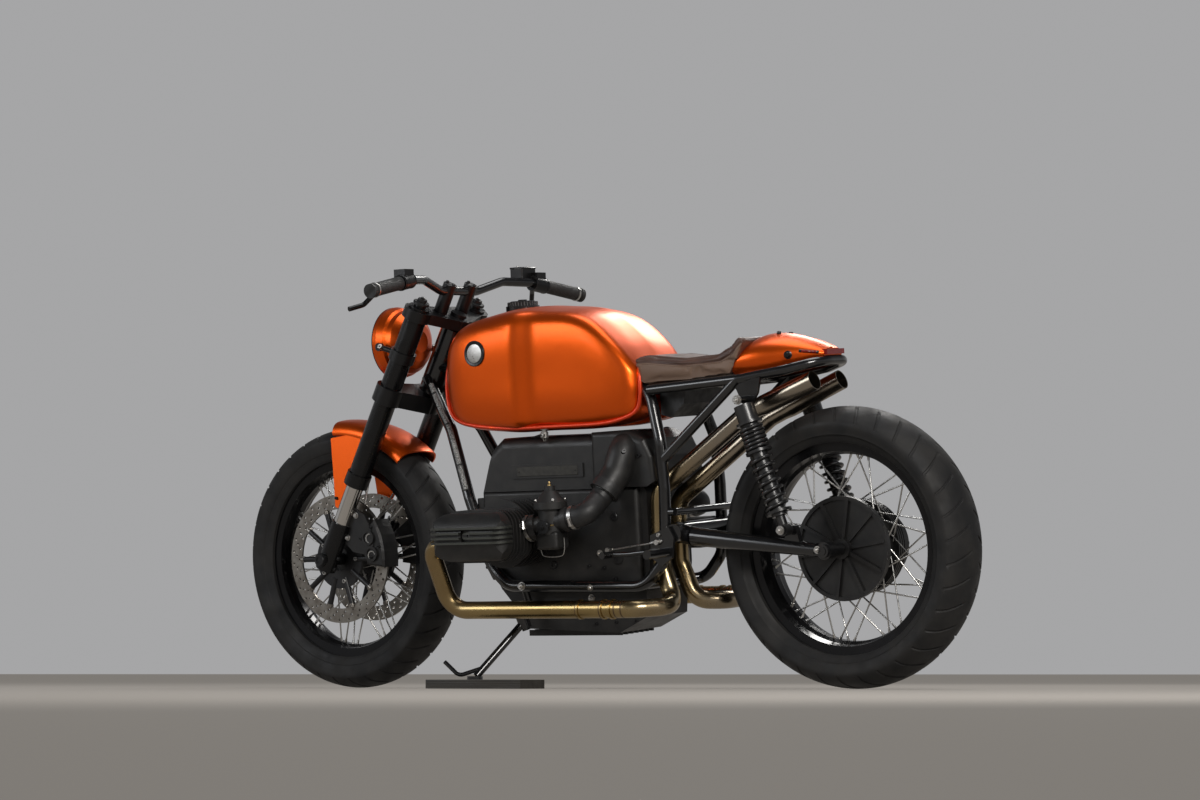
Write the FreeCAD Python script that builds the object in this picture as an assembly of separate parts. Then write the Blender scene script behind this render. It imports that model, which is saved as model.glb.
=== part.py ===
import FreeCAD, Part
import math
import os

V = FreeCAD.Vector

# Stance of the whole machine, millimetres and degrees
wheelbase = 1450.0
lean_deg = 5.36
steer_deg = -3.77
rake_deg = 28.0
yoke_offset = 40.0
fork_half_spread = 105.0

# Running gaps between pieces
running_gap = 6.0
bearing_gap = 0.05

# Rear wheel and tyre
rear_tyre_radius = 326.5
rear_tyre_width = 150.0
rear_rim_width = 92.0
rear_spoke_count = 40
rear_hub_radius = 96.0
rear_hub_left = 45.0
rear_hub_right = -58.0
hub_plate_radius = 121.0
hub_plate_thick = 15.0
hub_plate_ribs = 10
drum_fin_radius = 110.0
drum_fin_count = 4
drum_fin_thick = 5.0
drum_fin_pitch = 9.0
rear_axle_radius = 10.0

# Front wheel, tyre and brake discs
front_tyre_radius = 325.5
front_axle_height = 325.775
front_tyre_width = 120.0
front_rim_width = 72.0
front_spoke_count = 40
front_hub_radius = 30.0
front_hub_half = 52.0
front_axle_radius = 11.0
disc_radius = 160.0
disc_inner_radius = 124.0
disc_thick = 5.0
disc_half_spread = 64.0
disc_carrier_radius = 112.0
disc_button_count = 10
disc_hole_radius = 3.2
disc_hole_rows = (132.0, 142.0, 152.0)
disc_hole_steps = 30

# Rims and spokes of both wheels
tyre_seat_gap = 0.3
rim_flange_width = 6.0
rim_well_half = 12.0
spoke_cross = 2.4
bead_seat_radius = 229.0
rim_flange_radius = 245.0
rim_side_radius = 222.0
rim_well_radius = 216.0
rim_wall = 5.0
flange_half_spread = 34.0
flange_step = 8.0
flange_thick = 5.0
front_flange_radius = 46.0
spoke_radius = 1.9

# Fork legs, measured up the leg from the axle
leg_outer_radius = 27.0
leg_inner_radius = 21.5
leg_top = 694.0
seal_low = 207.0
seal_high = 240.0
seal_radius = 31.0
leg_clamp_top = 103.0
leg_clamp_low = -26.0
leg_clamp_radius = 25.5

# Yokes, stem and head tube, measured up the fork line
upper_yoke_low = 662.0
upper_yoke_thick = 26.0
lower_yoke_low = 436.0
lower_yoke_thick = 42.0
yoke_clamp_wall = 9.0
stem_radius = 15.0
head_tube_radius = 31.0
head_tube_bore = 22.0
bearing_height = 14.0
riser_half_spread = 40.0
riser_radius = 17.0
riser_cap = 18.0

# Handlebar, points ahead of, beside and up the fork line on the left half
bar_radius = 11.0
bar_centre = (-13.9, 0.0, 744.9)
bar_inner = (-13.9, 68.0, 744.9)
bar_rise = (-17.6, 150.0, 774.1)
bar_bend = (-42.9, 228.0, 784.1)
bar_end = (-74.2, 396.0, 767.9)
lever_reach = (-4.3, 320.0, 699.1)
lever_tip = (1.6, 360.0, 684.6)
grip_radius = 16.5
grip_length = 118.0
bar_cap_radius = 17.5
bar_cap_length = 9.0

# Headlight, its glass centre ahead of and up the fork line
lamp_ahead = 117.4
lamp_up = 540.3
lamp_radius = 88.0
lamp_depth = 86.0
lens_radius = 79.0
lens_dome = 12.0
lens_seat = 6.0

# Front fender
fender_radius = 341.0
fender_half_width = 70.0
fender_skirt = 34.0
fender_wall = 3.5
fender_front_deg = 89.0
fender_rear_deg = 131.0

# Frame tubes
cradle_radius = 14.0
backbone_radius = 24.0
cross_tube_radius = 9.0
rail_radius = 12.0
rail_half_spread = 118.0
cradle_half_spread = 130.0

# Engine and gearbox
engine_half_width = 104.0
crankcase_front = 972.0
crankcase_rear = 520.0
crankcase_low = 246.0
crankcase_high = 484.0
cover_high = 612.0
duct_mouth = (566.0, 148.0, 496.0)
cylinder_left_x = 833.0
cylinder_right_x = 791.0
cylinder_z = 388.0
barrel_radius = 54.0
barrel_fin_radius = 82.0
barrel_fin_count = 6
fin_thick = 4.0
barrel_length = 118.0
head_length = 96.0
head_half_x = 94.0
head_half_z = 62.0
head_fin_count = 7
rocker_length = 46.0
rocker_half_x = 106.0
rocker_half_z = 57.0
rocker_fin_count = 4
rocker_fin_pitch = 11.5
rocker_fin_proud = 4.0

# Exhaust
pipe_radius = 21.0
pipe_wall = 2.0
pipe_run_y = 218.0
pipe_run_z = 206.0
tip_radius = 23.5
tip_length = 150.0

# Tank, seat and tail
tank_half_width = 152.0
tank_nose_ahead = -142.1
tank_nose_up = 571.9
tank_rear = 498.0
tank_top = 926.0
tank_low = 630.0
tank_crown = 8.0
knee_step = 20.0
seam_radius = 4.5
tunnel_half_width = 42.0
tunnel_front_high = 852.0
tunnel_rear_high = 792.0
filler_radius = 36.0
filler_height = 24.0
filler_from_nose = 161.0
seat_half_width = 108.0
cowl_half_width = 104.0

# Rear suspension
swing_pivot_x = 403.0
swing_pivot_z = 376.0
swing_cross_radius = 25.0
swing_leg_y = 112.0
swing_leg_front_radius = 22.0
swing_leg_rear_radius = 16.0
shaft_leg_radius = 28.0
final_drive_radius = 82.0
final_drive_inner = -64.0
final_drive_outer = -142.0
shock_y = 145.0
shock_top = (187.0, 680.0)
shock_low = (89.0, 378.0)
shock_spring_radius = 29.0
shock_body_radius = 19.0
spring_wire_radius = 4.2
tight_turns = 6
tight_pitch = 9.4
open_turns = 7
spring_seat_gap = 0.1

# Side stand and the plank under its foot
stand_pivot = (840.0, 142.0, 172.0)
stand_foot_x = 905.0
stand_foot_y = 262.0
foot_half_thick = 4.0
foot_gap = 0.3
tyre_drop = 0.495
stand_folded = (-0.94, 0.2, -0.28)
stand_hinge_tilt = 41.0
stand_leg_radius = 9.0
stand_eye_radius = 15.0
stand_eye_thick = 30.0
stand_plate_thick = 8.0
stand_pin_radius = 6.0
pin_side_gap = 0.5
board_front = 1002.0
board_rear = 726.0
board_inner = 232.0
board_outer = 332.0
board_thick = 21.0


# Directions of the fork line and the line square to it
rake = math.radians(rake_deg)
UP_FORK = V(-math.sin(rake), 0, math.cos(rake))
AHEAD_FORK = V(math.cos(rake), 0, math.sin(rake))
REAR_AXLE = V(0, 0, rear_tyre_radius)
FRONT_AXLE = V(wheelbase, 0, front_axle_height)
ALONG_Y = V(0, 1, 0)
lean = math.radians(lean_deg)
UP_FLOOR = V(0, -math.sin(lean), math.cos(lean))


def at_fork(ahead, side, up):
    """Point given ahead of, beside and up the fork line from the axle."""
    return FRONT_AXLE + AHEAD_FORK * ahead + ALONG_Y * side + UP_FORK * up


LAMP = at_fork(lamp_ahead, 0, lamp_up)
tank_front = at_fork(tank_nose_ahead, 0, tank_nose_up).x


def rod(start, end, radius):
    """Round bar between two points."""
    return Part.makeCylinder(radius, (end - start).Length, start, end - start)


def taper(start, end, start_radius, end_radius):
    """Round bar that narrows from one end to the other."""
    return Part.makeCone(start_radius, end_radius, (end - start).Length, start, end - start)


def disc(centre, radius, low_y, high_y):
    """Round plate on an axis across the machine."""
    return Part.makeCylinder(radius, high_y - low_y, V(centre.x, low_y, centre.z), ALONG_Y)


def joined(shapes):
    """One solid from pieces that run into each other."""
    return shapes[0].multiFuse(shapes[1:]).removeSplitter()


def mirrored(shape):
    """The same piece on the other side of the machine."""
    return shape.mirror(V(0, 0, 0), ALONG_Y)


def cut_by(shape, others):
    """Piece with the seats of its neighbours taken out."""
    for other in others:
        if shape.BoundBox.intersect(other.BoundBox):
            shape = shape.cut(other)
    return shape


def main_solid(shape):
    """The largest solid of a cut piece."""
    return max(shape.Solids, key=lambda solid: solid.Volume)


def route(points, bend):
    """Straight runs joined by tangent arcs."""
    edges = []
    start = points[0]
    for before, corner, after in zip(points, points[1:], points[2:]):
        into = (corner - before).normalize()
        out = (after - corner).normalize()
        half_turn = into.getAngle(out) / 2
        room = 0.45 * min((corner - before).Length, (after - corner).Length)
        reach = min(bend * math.tan(half_turn), room)
        radius = reach / math.tan(half_turn)
        inward = (out - into).normalize()
        middle = corner + inward * (radius / math.cos(half_turn) - radius)
        arc_start = corner - into * reach
        arc_end = corner + out * reach
        edges.append(Part.makeLine(start, arc_start))
        edges.append(Part.Arc(arc_start, middle, arc_end).toShape())
        start = arc_end
    edges.append(Part.makeLine(start, points[-1]))
    return Part.Wire(edges)


def bent_bar(points, radius, bend):
    """Bar of round section along a bent path."""
    path = route(points, bend)
    ring = Part.Wire(Part.makeCircle(radius, points[0], points[1] - points[0]))
    return path.makePipeShell([ring], True, False)


def side_plate(points, low_y, high_y):
    """Plate cut to an outline of x, z pairs, between two planes across the machine."""
    corners = [V(x, low_y, z) for x, z in points]
    face = Part.Face(Part.makePolygon(corners + corners[:1]))
    return face.extrude(V(0, high_y - low_y, 0))


def turned(points, axle):
    """Ring turned about the wheel's axle from y, radius pairs."""
    corners = [V(axle.x, y, axle.z + radius) for y, radius in points]
    face = Part.Face(Part.makePolygon(corners + corners[:1]))
    return face.revolve(axle, ALONG_Y, 360)


def smooth_loop(points):
    """Closed smooth curve through points."""
    curve = Part.BSplineCurve()
    curve.interpolate(Points=points, PeriodicFlag=True)
    return Part.Wire(curve.toShape())


# Wheels
def tyre(axle, radius, width, rim_width):
    """Round-crowned tyre that fills the rim from bead to bead."""
    half = width / 2
    bead = rim_flange_radius + tyre_seat_gap
    shoulder = radius - width * 0.26
    left = [V(axle.x, -half * share, axle.z + height) for share, height in (
        (0.74, bead), (0.93, (bead + shoulder) / 2), (1.0, shoulder))]
    tread = [V(axle.x, half * share, axle.z + radius - drop * width) for share, drop in (
        (-0.72, 0.10), (0.0, 0.0), (0.72, 0.10))]
    right = [V(point.x, -point.y, point.z) for point in reversed(left)]
    curve = Part.BSplineCurve()
    curve.interpolate(Points=left + tread + right)
    heel = rim_width / 2 - rim_flange_width - tyre_seat_gap
    toe = heel - rim_flange_width / 2
    low = bead_seat_radius + tyre_seat_gap
    corners = [right[-1], V(axle.x, heel, axle.z + bead), V(axle.x, toe, axle.z + low)]
    corners += [V(axle.x, -toe, axle.z + low), V(axle.x, -heel, axle.z + bead), left[0]]
    section = Part.Wire([curve.toShape()] + Part.makePolygon(corners).Edges)
    return Part.Face(section).revolve(axle, ALONG_Y, 360)


def rim(axle, width):
    """Rolled rim with a well, two bead seats and two flanges."""
    half = width / 2
    heel = half - rim_flange_width
    toe = heel - rim_flange_width / 2
    outer = [(half, rim_flange_radius), (heel, rim_flange_radius), (toe, bead_seat_radius),
             (rim_well_half + 8, bead_seat_radius), (rim_well_half, rim_well_radius + rim_wall)]
    inner = [(rim_well_half - 2, rim_well_radius), (rim_well_half + 10, rim_side_radius),
             (half - 2, rim_side_radius + 3)]
    left = [(-y, radius) for y, radius in outer]
    left_inner = [(-y, radius) for y, radius in inner]
    return turned(outer + left[::-1] + left_inner[::-1] + inner, axle)


def spokes(axle, count, flange_radius, flange_y, rim_solid):
    """Crossed spokes from two hub flanges to the rim's well."""
    wires = []
    per_side = count // 2
    for index in range(count):
        side = 1 if index % 2 else -1
        place = index // 2
        lead = 1 if place % 2 else -1
        hub_turn = 2 * math.pi * (place + 0.25 * side) / per_side
        rim_turn = hub_turn + lead * 2 * math.pi * spoke_cross / per_side
        head_y = side * (flange_y - (flange_step if lead > 0 else 0))
        head = axle + V(math.cos(hub_turn) * flange_radius, head_y, math.sin(hub_turn) * flange_radius)
        end_radius = rim_well_radius + rim_wall / 2
        end = axle + V(math.cos(rim_turn) * end_radius, side * 3.0, math.sin(rim_turn) * end_radius)
        wires.append(rod(head, end, spoke_radius))
    return Part.makeCompound(wires).cut(rim_solid)


def rear_hub():
    """Ribbed side plate, drum and cooling fins on the rear axle."""
    plate_inner = rear_hub_left - hub_plate_thick
    pieces = [disc(REAR_AXLE, hub_plate_radius, plate_inner, rear_hub_left - 5)]
    pieces.append(disc(REAR_AXLE, rear_hub_radius, rear_hub_right, plate_inner))
    pieces.append(disc(REAR_AXLE, 24.0, plate_inner, rear_hub_left + 8))
    edge = disc(REAR_AXLE, hub_plate_radius, rear_hub_left - 6, rear_hub_left)
    pieces.append(edge.cut(disc(REAR_AXLE, hub_plate_radius - 9, rear_hub_left - 5, rear_hub_left + 1)))
    rib = Part.makeBox(hub_plate_radius - 26, 9, 8, REAR_AXLE + V(20, rear_hub_left - 8, -4))
    for index in range(hub_plate_ribs):
        pieces.append(rib.copy().rotate(REAR_AXLE, ALONG_Y, 360 * index / hub_plate_ribs + 8))
    for index in range(drum_fin_count):
        low = rear_hub_right + index * drum_fin_pitch
        pieces.append(disc(REAR_AXLE, drum_fin_radius, low, low + drum_fin_thick))
    hub = joined(pieces)
    return hub.cut(disc(REAR_AXLE, rear_axle_radius + bearing_gap, -200, 200))


def front_hub():
    """Slim hub with a flange for each side's spokes and disc seats."""
    pieces = [disc(FRONT_AXLE, front_hub_radius, -front_hub_half, front_hub_half)]
    for side in (-1, 1):
        low = side * flange_half_spread - flange_thick / 2
        pieces.append(disc(FRONT_AXLE, front_flange_radius, low, low + flange_thick))
        seat = side * (disc_half_spread - disc_thick / 2 - 6)
        low, high = sorted((seat, seat - side * 6))
        pieces.append(disc(FRONT_AXLE, 44.0, low, high))
    hub = joined(pieces)
    return hub.cut(disc(FRONT_AXLE, front_axle_radius + bearing_gap, -200, 200))


def brake_disc():
    """Drilled steel ring on a ten-armed carrier, left side."""
    low = disc_half_spread - disc_thick / 2
    high = low + disc_thick
    ring = disc(FRONT_AXLE, disc_radius, low, high)
    ring = ring.cut(disc(FRONT_AXLE, disc_inner_radius, low - 1, high + 1))
    drills = []
    for row, radius in enumerate(disc_hole_rows):
        for index in range(disc_hole_steps):
            turn = 2 * math.pi * (index + row / len(disc_hole_rows)) / disc_hole_steps
            reach = V(math.cos(turn) * radius, 0, math.sin(turn) * radius)
            drills.append(disc(FRONT_AXLE + reach, disc_hole_radius, low - 1, high + 1))
    ring = ring.cut(Part.makeCompound(drills))
    carrier = [disc(FRONT_AXLE, 74.0, low - 6, high - 1)]
    for index in range(disc_button_count):
        turn = 2 * math.pi * index / disc_button_count
        reach = V(math.cos(turn), 0, math.sin(turn))
        arm = rod(FRONT_AXLE + reach * 50 + V(0, disc_half_spread, 0),
                  FRONT_AXLE + reach * (disc_inner_radius + 3) + V(0, disc_half_spread, 0), 7.0)
        button = disc(FRONT_AXLE + reach * (disc_inner_radius - 2), 8.0, low - 2, high + 2)
        carrier += [arm, button]
    whole = joined([ring] + carrier)
    return whole.cut(disc(FRONT_AXLE, front_hub_radius, low - 20, high + 20))


# Steering group
def fork_leg(side):
    """Upside-down fork leg, seal ring, slider and axle clamp."""
    def along(low, high, radius):
        return rod(at_fork(0, side, low), at_fork(0, side, high), radius)
    pieces = [along(seal_high - 2, leg_top, leg_outer_radius), along(seal_low, seal_high, seal_radius)]
    pieces.append(along(leg_clamp_top - 4, seal_low + 4, leg_inner_radius))
    pieces.append(along(leg_clamp_low, leg_clamp_top, leg_clamp_radius))
    pieces.append(along(leg_top - 2, leg_top + 9, 15.0))
    leg = joined(pieces)
    axle_hole = disc(FRONT_AXLE, front_axle_radius, side - 60, side + 60)
    return leg.cut(axle_hole)


def front_axle():
    """Axle through both fork clamps with a nut at each end."""
    reach = fork_half_spread + leg_clamp_radius
    pieces = [disc(FRONT_AXLE, front_axle_radius, -reach - 3, reach + 3)]
    for side in (-1, 1):
        low, high = sorted((side * reach, side * (reach + 9)))
        pieces.append(disc(FRONT_AXLE, 17.0, low, high))
        low, high = sorted((side * (disc_half_spread - disc_thick / 2 - 4), side * (fork_half_spread - leg_clamp_radius)))
        pieces.append(disc(FRONT_AXLE, 15.0, low, high))
    return joined(pieces)


def yoke(low, thick, legs):
    """Clamp plate that holds both legs and the stem."""
    clamp_radius = leg_outer_radius + yoke_clamp_wall
    pieces = []
    for side in (-1, 1):
        start = at_fork(0, side * fork_half_spread, low)
        pieces.append(Part.makeCylinder(clamp_radius, thick, start, UP_FORK))
    stem = at_fork(-yoke_offset, 0, low)
    pieces.append(Part.makeCylinder(stem_radius + 20, thick, stem, UP_FORK))
    corners = [at_fork(ahead, side, low) for ahead, side in (
        (22, -fork_half_spread), (14, 0), (22, fork_half_spread), (-30, fork_half_spread),
        (-yoke_offset - 32, 20), (-yoke_offset - 32, -20), (-30, -fork_half_spread))]
    web = Part.Face(Part.makePolygon(corners + corners[:1])).extrude(UP_FORK * thick)
    return cut_by(joined(pieces + [web]), legs)


def upper_yoke(legs):
    """Upper clamp plate with its two handlebar risers."""
    plate = yoke(upper_yoke_low, upper_yoke_thick, legs)
    top = upper_yoke_low + upper_yoke_thick
    ahead, _, up = bar_centre
    posts = []
    for side in (-1, 1):
        posts.append(rod(at_fork(ahead, side * riser_half_spread, top - 4),
                         at_fork(ahead, side * riser_half_spread, up + riser_cap), riser_radius))
    stem_end = at_fork(-yoke_offset, 0, top - 1)
    nut = Part.makeCylinder(stem_radius + 5, 10, stem_end, UP_FORK)
    return joined([plate, nut] + posts)


def lower_yoke(legs):
    """Lower clamp plate with the steering stem pressed in it."""
    plate = yoke(lower_yoke_low, lower_yoke_thick, legs)
    stem = rod(at_fork(-yoke_offset, 0, lower_yoke_low + 2), at_fork(-yoke_offset, 0, upper_yoke_low), stem_radius)
    return joined([plate, stem])


def bar_points():
    """Centre line of the bar from the left end to the right."""
    left = [at_fork(*point) for point in (bar_end, bar_bend, bar_rise, bar_inner)]
    right = [V(point.x, -point.y, point.z) for point in reversed(left)]
    return left + right


def handlebar():
    """Bent tube from grip to grip."""
    return bent_bar(bar_points(), bar_radius, 45.0)


def grip(side):
    """Rubber grip and bar-end weight on the bar's end."""
    end = at_fork(*bar_end)
    inward = (at_fork(*bar_bend) - end).normalize()
    cap = rod(end - inward * bar_cap_length, end, bar_cap_radius)
    sleeve = rod(end, end + inward * grip_length, grip_radius)
    sleeve = sleeve.cut(rod(end, end + inward * (grip_length + 5), bar_radius))
    whole = joined([cap, sleeve])
    return whole if side > 0 else mirrored(whole)


def lever_group():
    """Clamp ring, switch block and lever of the left bar end."""
    end = at_fork(*bar_end)
    inward = (at_fork(*bar_bend) - end).normalize()
    start = end + inward * (grip_length + 2)
    ring = rod(start, start + inward * 46, bar_radius + 8)
    block = Part.makeBox(34, 34, 30, V(start.x - 10, start.y - 42, start.z + 4))
    perch = rod(start + inward * 16, start + inward * 16 + V(34, 8, -6), 8.0)
    pivot = start + inward * 16 + V(34, 8, -6)
    blade = [pivot, pivot + V(18, 22, -8), at_fork(*lever_reach), at_fork(*lever_tip)]
    lever = bent_bar(blade, 6.0, 18.0)
    group = joined([ring, block, perch, lever])
    return group.cut(handlebar())


def brake_group():
    """Right clamp, switch block, lever and boxy fluid reservoir."""
    group = mirrored(lever_group())
    left_end = at_fork(*bar_end)
    inward = (at_fork(*bar_bend) - left_end).normalize()
    seat = left_end + inward * (grip_length + 40)
    seat = V(seat.x + 20, -seat.y, seat.z + 8)
    cup = Part.makeBox(40, 56, 30, seat + V(-16, -14, 0))
    cup = cup.makeFillet(5.0, [edge for edge in cup.Edges if edge.BoundBox.ZLength > 20])
    neck = rod(seat + V(0, 6, -14), seat + V(0, 6, 4), 9.0)
    return joined([group, neck, cup]).cut(handlebar())


def headlight_shell():
    """Stepped bowl of the headlight with its rim."""
    back = LAMP.x - lamp_depth
    outline = [(LAMP.x, 0), (LAMP.x, lamp_radius), (LAMP.x - 14, lamp_radius + 1),
               (LAMP.x - 32, lamp_radius - 3), (LAMP.x - 38, lamp_radius - 9),
               (LAMP.x - 52, lamp_radius - 11), (LAMP.x - 66, lamp_radius - 22),
               (back + 8, lamp_radius - 40), (back, lamp_radius - 62), (back, 0)]
    corners = [V(x, 0, LAMP.z + radius) for x, radius in outline]
    axis = V(0, 0, LAMP.z)
    bowl = Part.Face(Part.makePolygon(corners + corners[:1])).revolve(axis, V(1, 0, 0), 360)
    recess = Part.makeCylinder(lens_radius, lens_seat + 4, V(LAMP.x - lens_seat, 0, LAMP.z), V(1, 0, 0))
    return bowl.cut(recess)


def headlight_lens():
    """Domed glass set in the rim."""
    start = V(LAMP.x - lens_seat, 0, LAMP.z)
    ball_radius = (lens_radius ** 2 + lens_dome ** 2) / (2 * lens_dome)
    ball = Part.makeSphere(ball_radius, start + V(lens_seat + lens_dome - ball_radius, 0, 0))
    plug = Part.makeCylinder(lens_radius - 0.3, lens_seat + lens_dome + 4, start, V(1, 0, 0))
    return plug.common(ball)


def headlight_brackets(legs, shell):
    """Two clamp rings on the legs with an arm to each side of the lamp."""
    pieces = []
    for side in (-1, 1):
        low = at_fork(0, side * fork_half_spread, 548)
        ring = Part.makeCylinder(leg_outer_radius + 5, 26, low, UP_FORK)
        arm = rod(at_fork(14, side * (fork_half_spread - 12), 560),
                  V(LAMP.x - 30, side * (lamp_radius + 4), LAMP.z - 11), 7.0)
        bolt = disc(V(LAMP.x - 30, 0, LAMP.z - 11), 10.0, *sorted((side * (lamp_radius - 2), side * (lamp_radius + 10))))
        pieces.append(cut_by(joined([ring, arm, bolt]), legs + [shell]))
    return Part.makeCompound(pieces)


def front_fender():
    """Short arched fender with a tapered stay plate down each side."""
    half = fender_half_width
    section_face = []
    for proud, width in ((fender_wall, half), (0.0, half - fender_wall)):
        rim_radius = fender_radius + proud
        section_face.append([V(wheelbase + rim_radius + rise, width * share, front_axle_height) for share, rise in (
            (-1.0, -fender_skirt), (-0.98, -22), (-0.84, -8), (-0.5, 0), (0, 3), (0.5, 0), (0.84, -8), (0.98, -22),
            (1.0, -fender_skirt))])
    curves = []
    for points in section_face:
        curve = Part.BSplineCurve()
        curve.interpolate(Points=points)
        curves.append(curve.toShape())
    outer, inner = section_face
    ends = [Part.makeLine(outer[0], inner[0]), Part.makeLine(outer[-1], inner[-1])]
    section = Part.Face(Part.Wire([curves[0], ends[1], curves[1], ends[0]]))
    section.rotate(FRONT_AXLE, ALONG_Y, -fender_front_deg)
    arch = section.revolve(FRONT_AXLE, ALONG_Y, fender_front_deg - fender_rear_deg)
    pieces = [arch]
    for side in (-1, 1):
        outline = [(150, 262), (118, 215), (80, 160), (54, 120), (24, 120), (14, 180), (6, 300), (70, 318)]
        corners = [at_fork(ahead, side * (half - 1 + (300 - up) * 0.085), up) for ahead, up in outline]
        face = Part.Face(Part.makePolygon(corners + corners[:1]))
        pieces.append(face.extrude(V(0, -side * fender_wall, 0)))
    return joined(pieces)


def caliper(side, legs):
    """Four-piston caliper behind the fork leg, open over the disc, with two round covers."""
    low = disc_half_spread - 22
    high = disc_half_spread + 34
    rim_angles = (146, 153, 160, 167, 174, 181, 187)
    outline = []
    for radius, turns in ((disc_radius + 14, rim_angles), (disc_inner_radius - 8, rim_angles[::-1])):
        for turn in turns:
            angle = math.radians(turn)
            outline.append((wheelbase + radius * math.cos(angle), front_axle_height + radius * math.sin(angle)))
    body = side_plate(outline, low, high)
    body = body.makeChamfer(5.0, [edge for edge in body.Edges if edge.BoundBox.YMin > high - 1])
    slot = disc(FRONT_AXLE, disc_radius + running_gap, disc_half_spread - disc_thick / 2 - running_gap,
                disc_half_spread + disc_thick / 2 + running_gap)
    body = body.cut(slot)
    corners = [at_fork(ahead, fork_half_spread - 14, up) for ahead, up in (
        (-8, 66), (-8, 150), (-52, 152), (-88, 128), (-112, 96), (-104, 66), (-60, 52))]
    lugs = [Part.Face(Part.makePolygon(corners + corners[:1])).extrude(V(0, 10, 0))]
    covers = []
    for turn in (158, 175):
        angle = math.radians(turn)
        reach = (disc_radius + disc_inner_radius) / 2 - 4
        centre = V(wheelbase + reach * math.cos(angle), 0, front_axle_height + reach * math.sin(angle))
        covers.append(disc(centre, 19.0, high - 1, high + 6).cut(disc(centre, 13.0, high + 3, high + 7)))
    whole = joined([body] + lugs + covers)
    if side < 0:
        whole = mirrored(whole)
    return main_solid(cut_by(whole, legs))


# Frame
def stand_bracket():
    """Plate over the stand's eye with its pin below and a strut up to the cradle."""
    pivot = V(*stand_pivot)
    _, _, axis = stand_directions()
    inboard = V(1, 0, 0).cross(axis).normalize()
    seat = stand_eye_thick / 2 + pin_side_gap
    base = pivot + axis * seat
    far = base + inboard * 42
    across = axis.cross(inboard).normalize() * stand_eye_radius
    corners = [base - across, base + across, far + across, far - across]
    web = Part.Face(Part.makePolygon(corners + corners[:1])).extrude(axis * stand_plate_thick)
    discs = [Part.makeCylinder(stand_eye_radius, stand_plate_thick, place, axis) for place in (base, far)]
    pin = rod(base + axis * stand_plate_thick / 2, pivot - axis * (seat + 1), stand_pin_radius)
    head = Part.makeCylinder(stand_pin_radius + 4, 5, pivot - axis * seat, axis * -1)
    strut = rod(far + axis * 4, V(far.x, cradle_half_spread - 2, 256), 9.0)
    return joined([web, pin, head, strut] + discs)


def main_frame():
    """Double cradle with a head tube, backbone, rear uprights and pivot plates."""
    spread = cradle_half_spread
    loop = [at_fork(-31.6, 24, 519.9), at_fork(-177, 62, 446.6), V(crankcase_front + 40, 100, 470),
            V(crankcase_front - 34, spread - 10, 300), V(crankcase_front - 84, spread, 258), V(492, spread, 252),
            V(434, spread - 6, 316), V(430, spread - 10, 480), V(436, spread - 12, 590), V(470, spread - 30, 706),
            V(600, 30, 760)]
    left = bent_bar(loop, cradle_radius, 70.0)
    backbone = rod(at_fork(-56.5, 0, 596.6), V(588, 0, 762), backbone_radius)
    head = rod(at_fork(-yoke_offset, 0, lower_yoke_low + lower_yoke_thick + running_gap),
               at_fork(-yoke_offset, 0, upper_yoke_low - running_gap), head_tube_radius)
    braces = []
    for side in (-1, 1):
        braces.append(rod(at_fork(-54.8, side * 16, 557.2), V(530, side * 68, 731), 11.0))
        braces.append(disc(V(swing_pivot_x, 0, swing_pivot_z), 21.0,
                           *sorted((side * (spread - 22), side * (spread + 4)))))
        braces.append(rod(V(swing_pivot_x, side * (spread - 10), swing_pivot_z),
                          V(432, side * (spread - 8), swing_pivot_z), 13.0))
    for x, z, y in ((404, 425, spread - 10), (880, 258, spread), (500, 252, spread)):
        braces.append(rod(V(x, -y, z), V(x, y, z), cross_tube_radius))
    braces.append(rod(V(430, spread - 10, 425), V(404, spread - 10, 425), cross_tube_radius))
    braces.append(rod(V(430, 10 - spread, 425), V(404, 10 - spread, 425), cross_tube_radius))
    frame = joined([left, mirrored(left), backbone, head, stand_bracket()] + braces)
    low = lower_yoke_low + lower_yoke_thick + running_gap
    high = upper_yoke_low - running_gap
    bore = rod(at_fork(-yoke_offset, 0, low + bearing_height), at_fork(-yoke_offset, 0, high - bearing_height), head_tube_bore)
    stem_way = rod(at_fork(-yoke_offset, 0, low - 1), at_fork(-yoke_offset, 0, high + 1), stem_radius + bearing_gap)
    return frame.cut(bore).cut(stem_way)


def rear_frame(front):
    """Seat rails, tail loop, diagonals and shock brackets."""
    spread = rail_half_spread
    rail = [(462, spread - 2, 712), (216, spread, 727), (100, spread - 18, 743), (24, 58, 760), (12, 0, 761)]
    half = [V(*point) for point in rail]
    right = [V(point.x, -point.y, point.z) for point in reversed(half[:-1])]
    rails = bent_bar(half[:-1] + right, rail_radius, 60.0)
    pieces = [rails]
    for side in (-1, 1):
        pieces.append(rod(V(434, side * (spread + 1), 545), V(214, side * spread, 727), rail_radius))
        gusset = side_plate([(226, 722), (150, 730), (158, 694), (178, 664), (198, 664), (214, 700)],
                            *sorted((side * (spread - 4), side * (spread + 4))))
        pieces.append(gusset)
        x, z = shock_top
        pieces.append(disc(V(x, 0, z), 8.0, *sorted((side * (spread - 4), side * (shock_y + 20)))))
    for x, z in ((400, 716), (250, 725)):
        pieces.append(rod(V(x, -spread, z), V(x, spread, z), cross_tube_radius))
    whole = joined(pieces)
    return main_solid(cut_by(whole, [front]))


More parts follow.
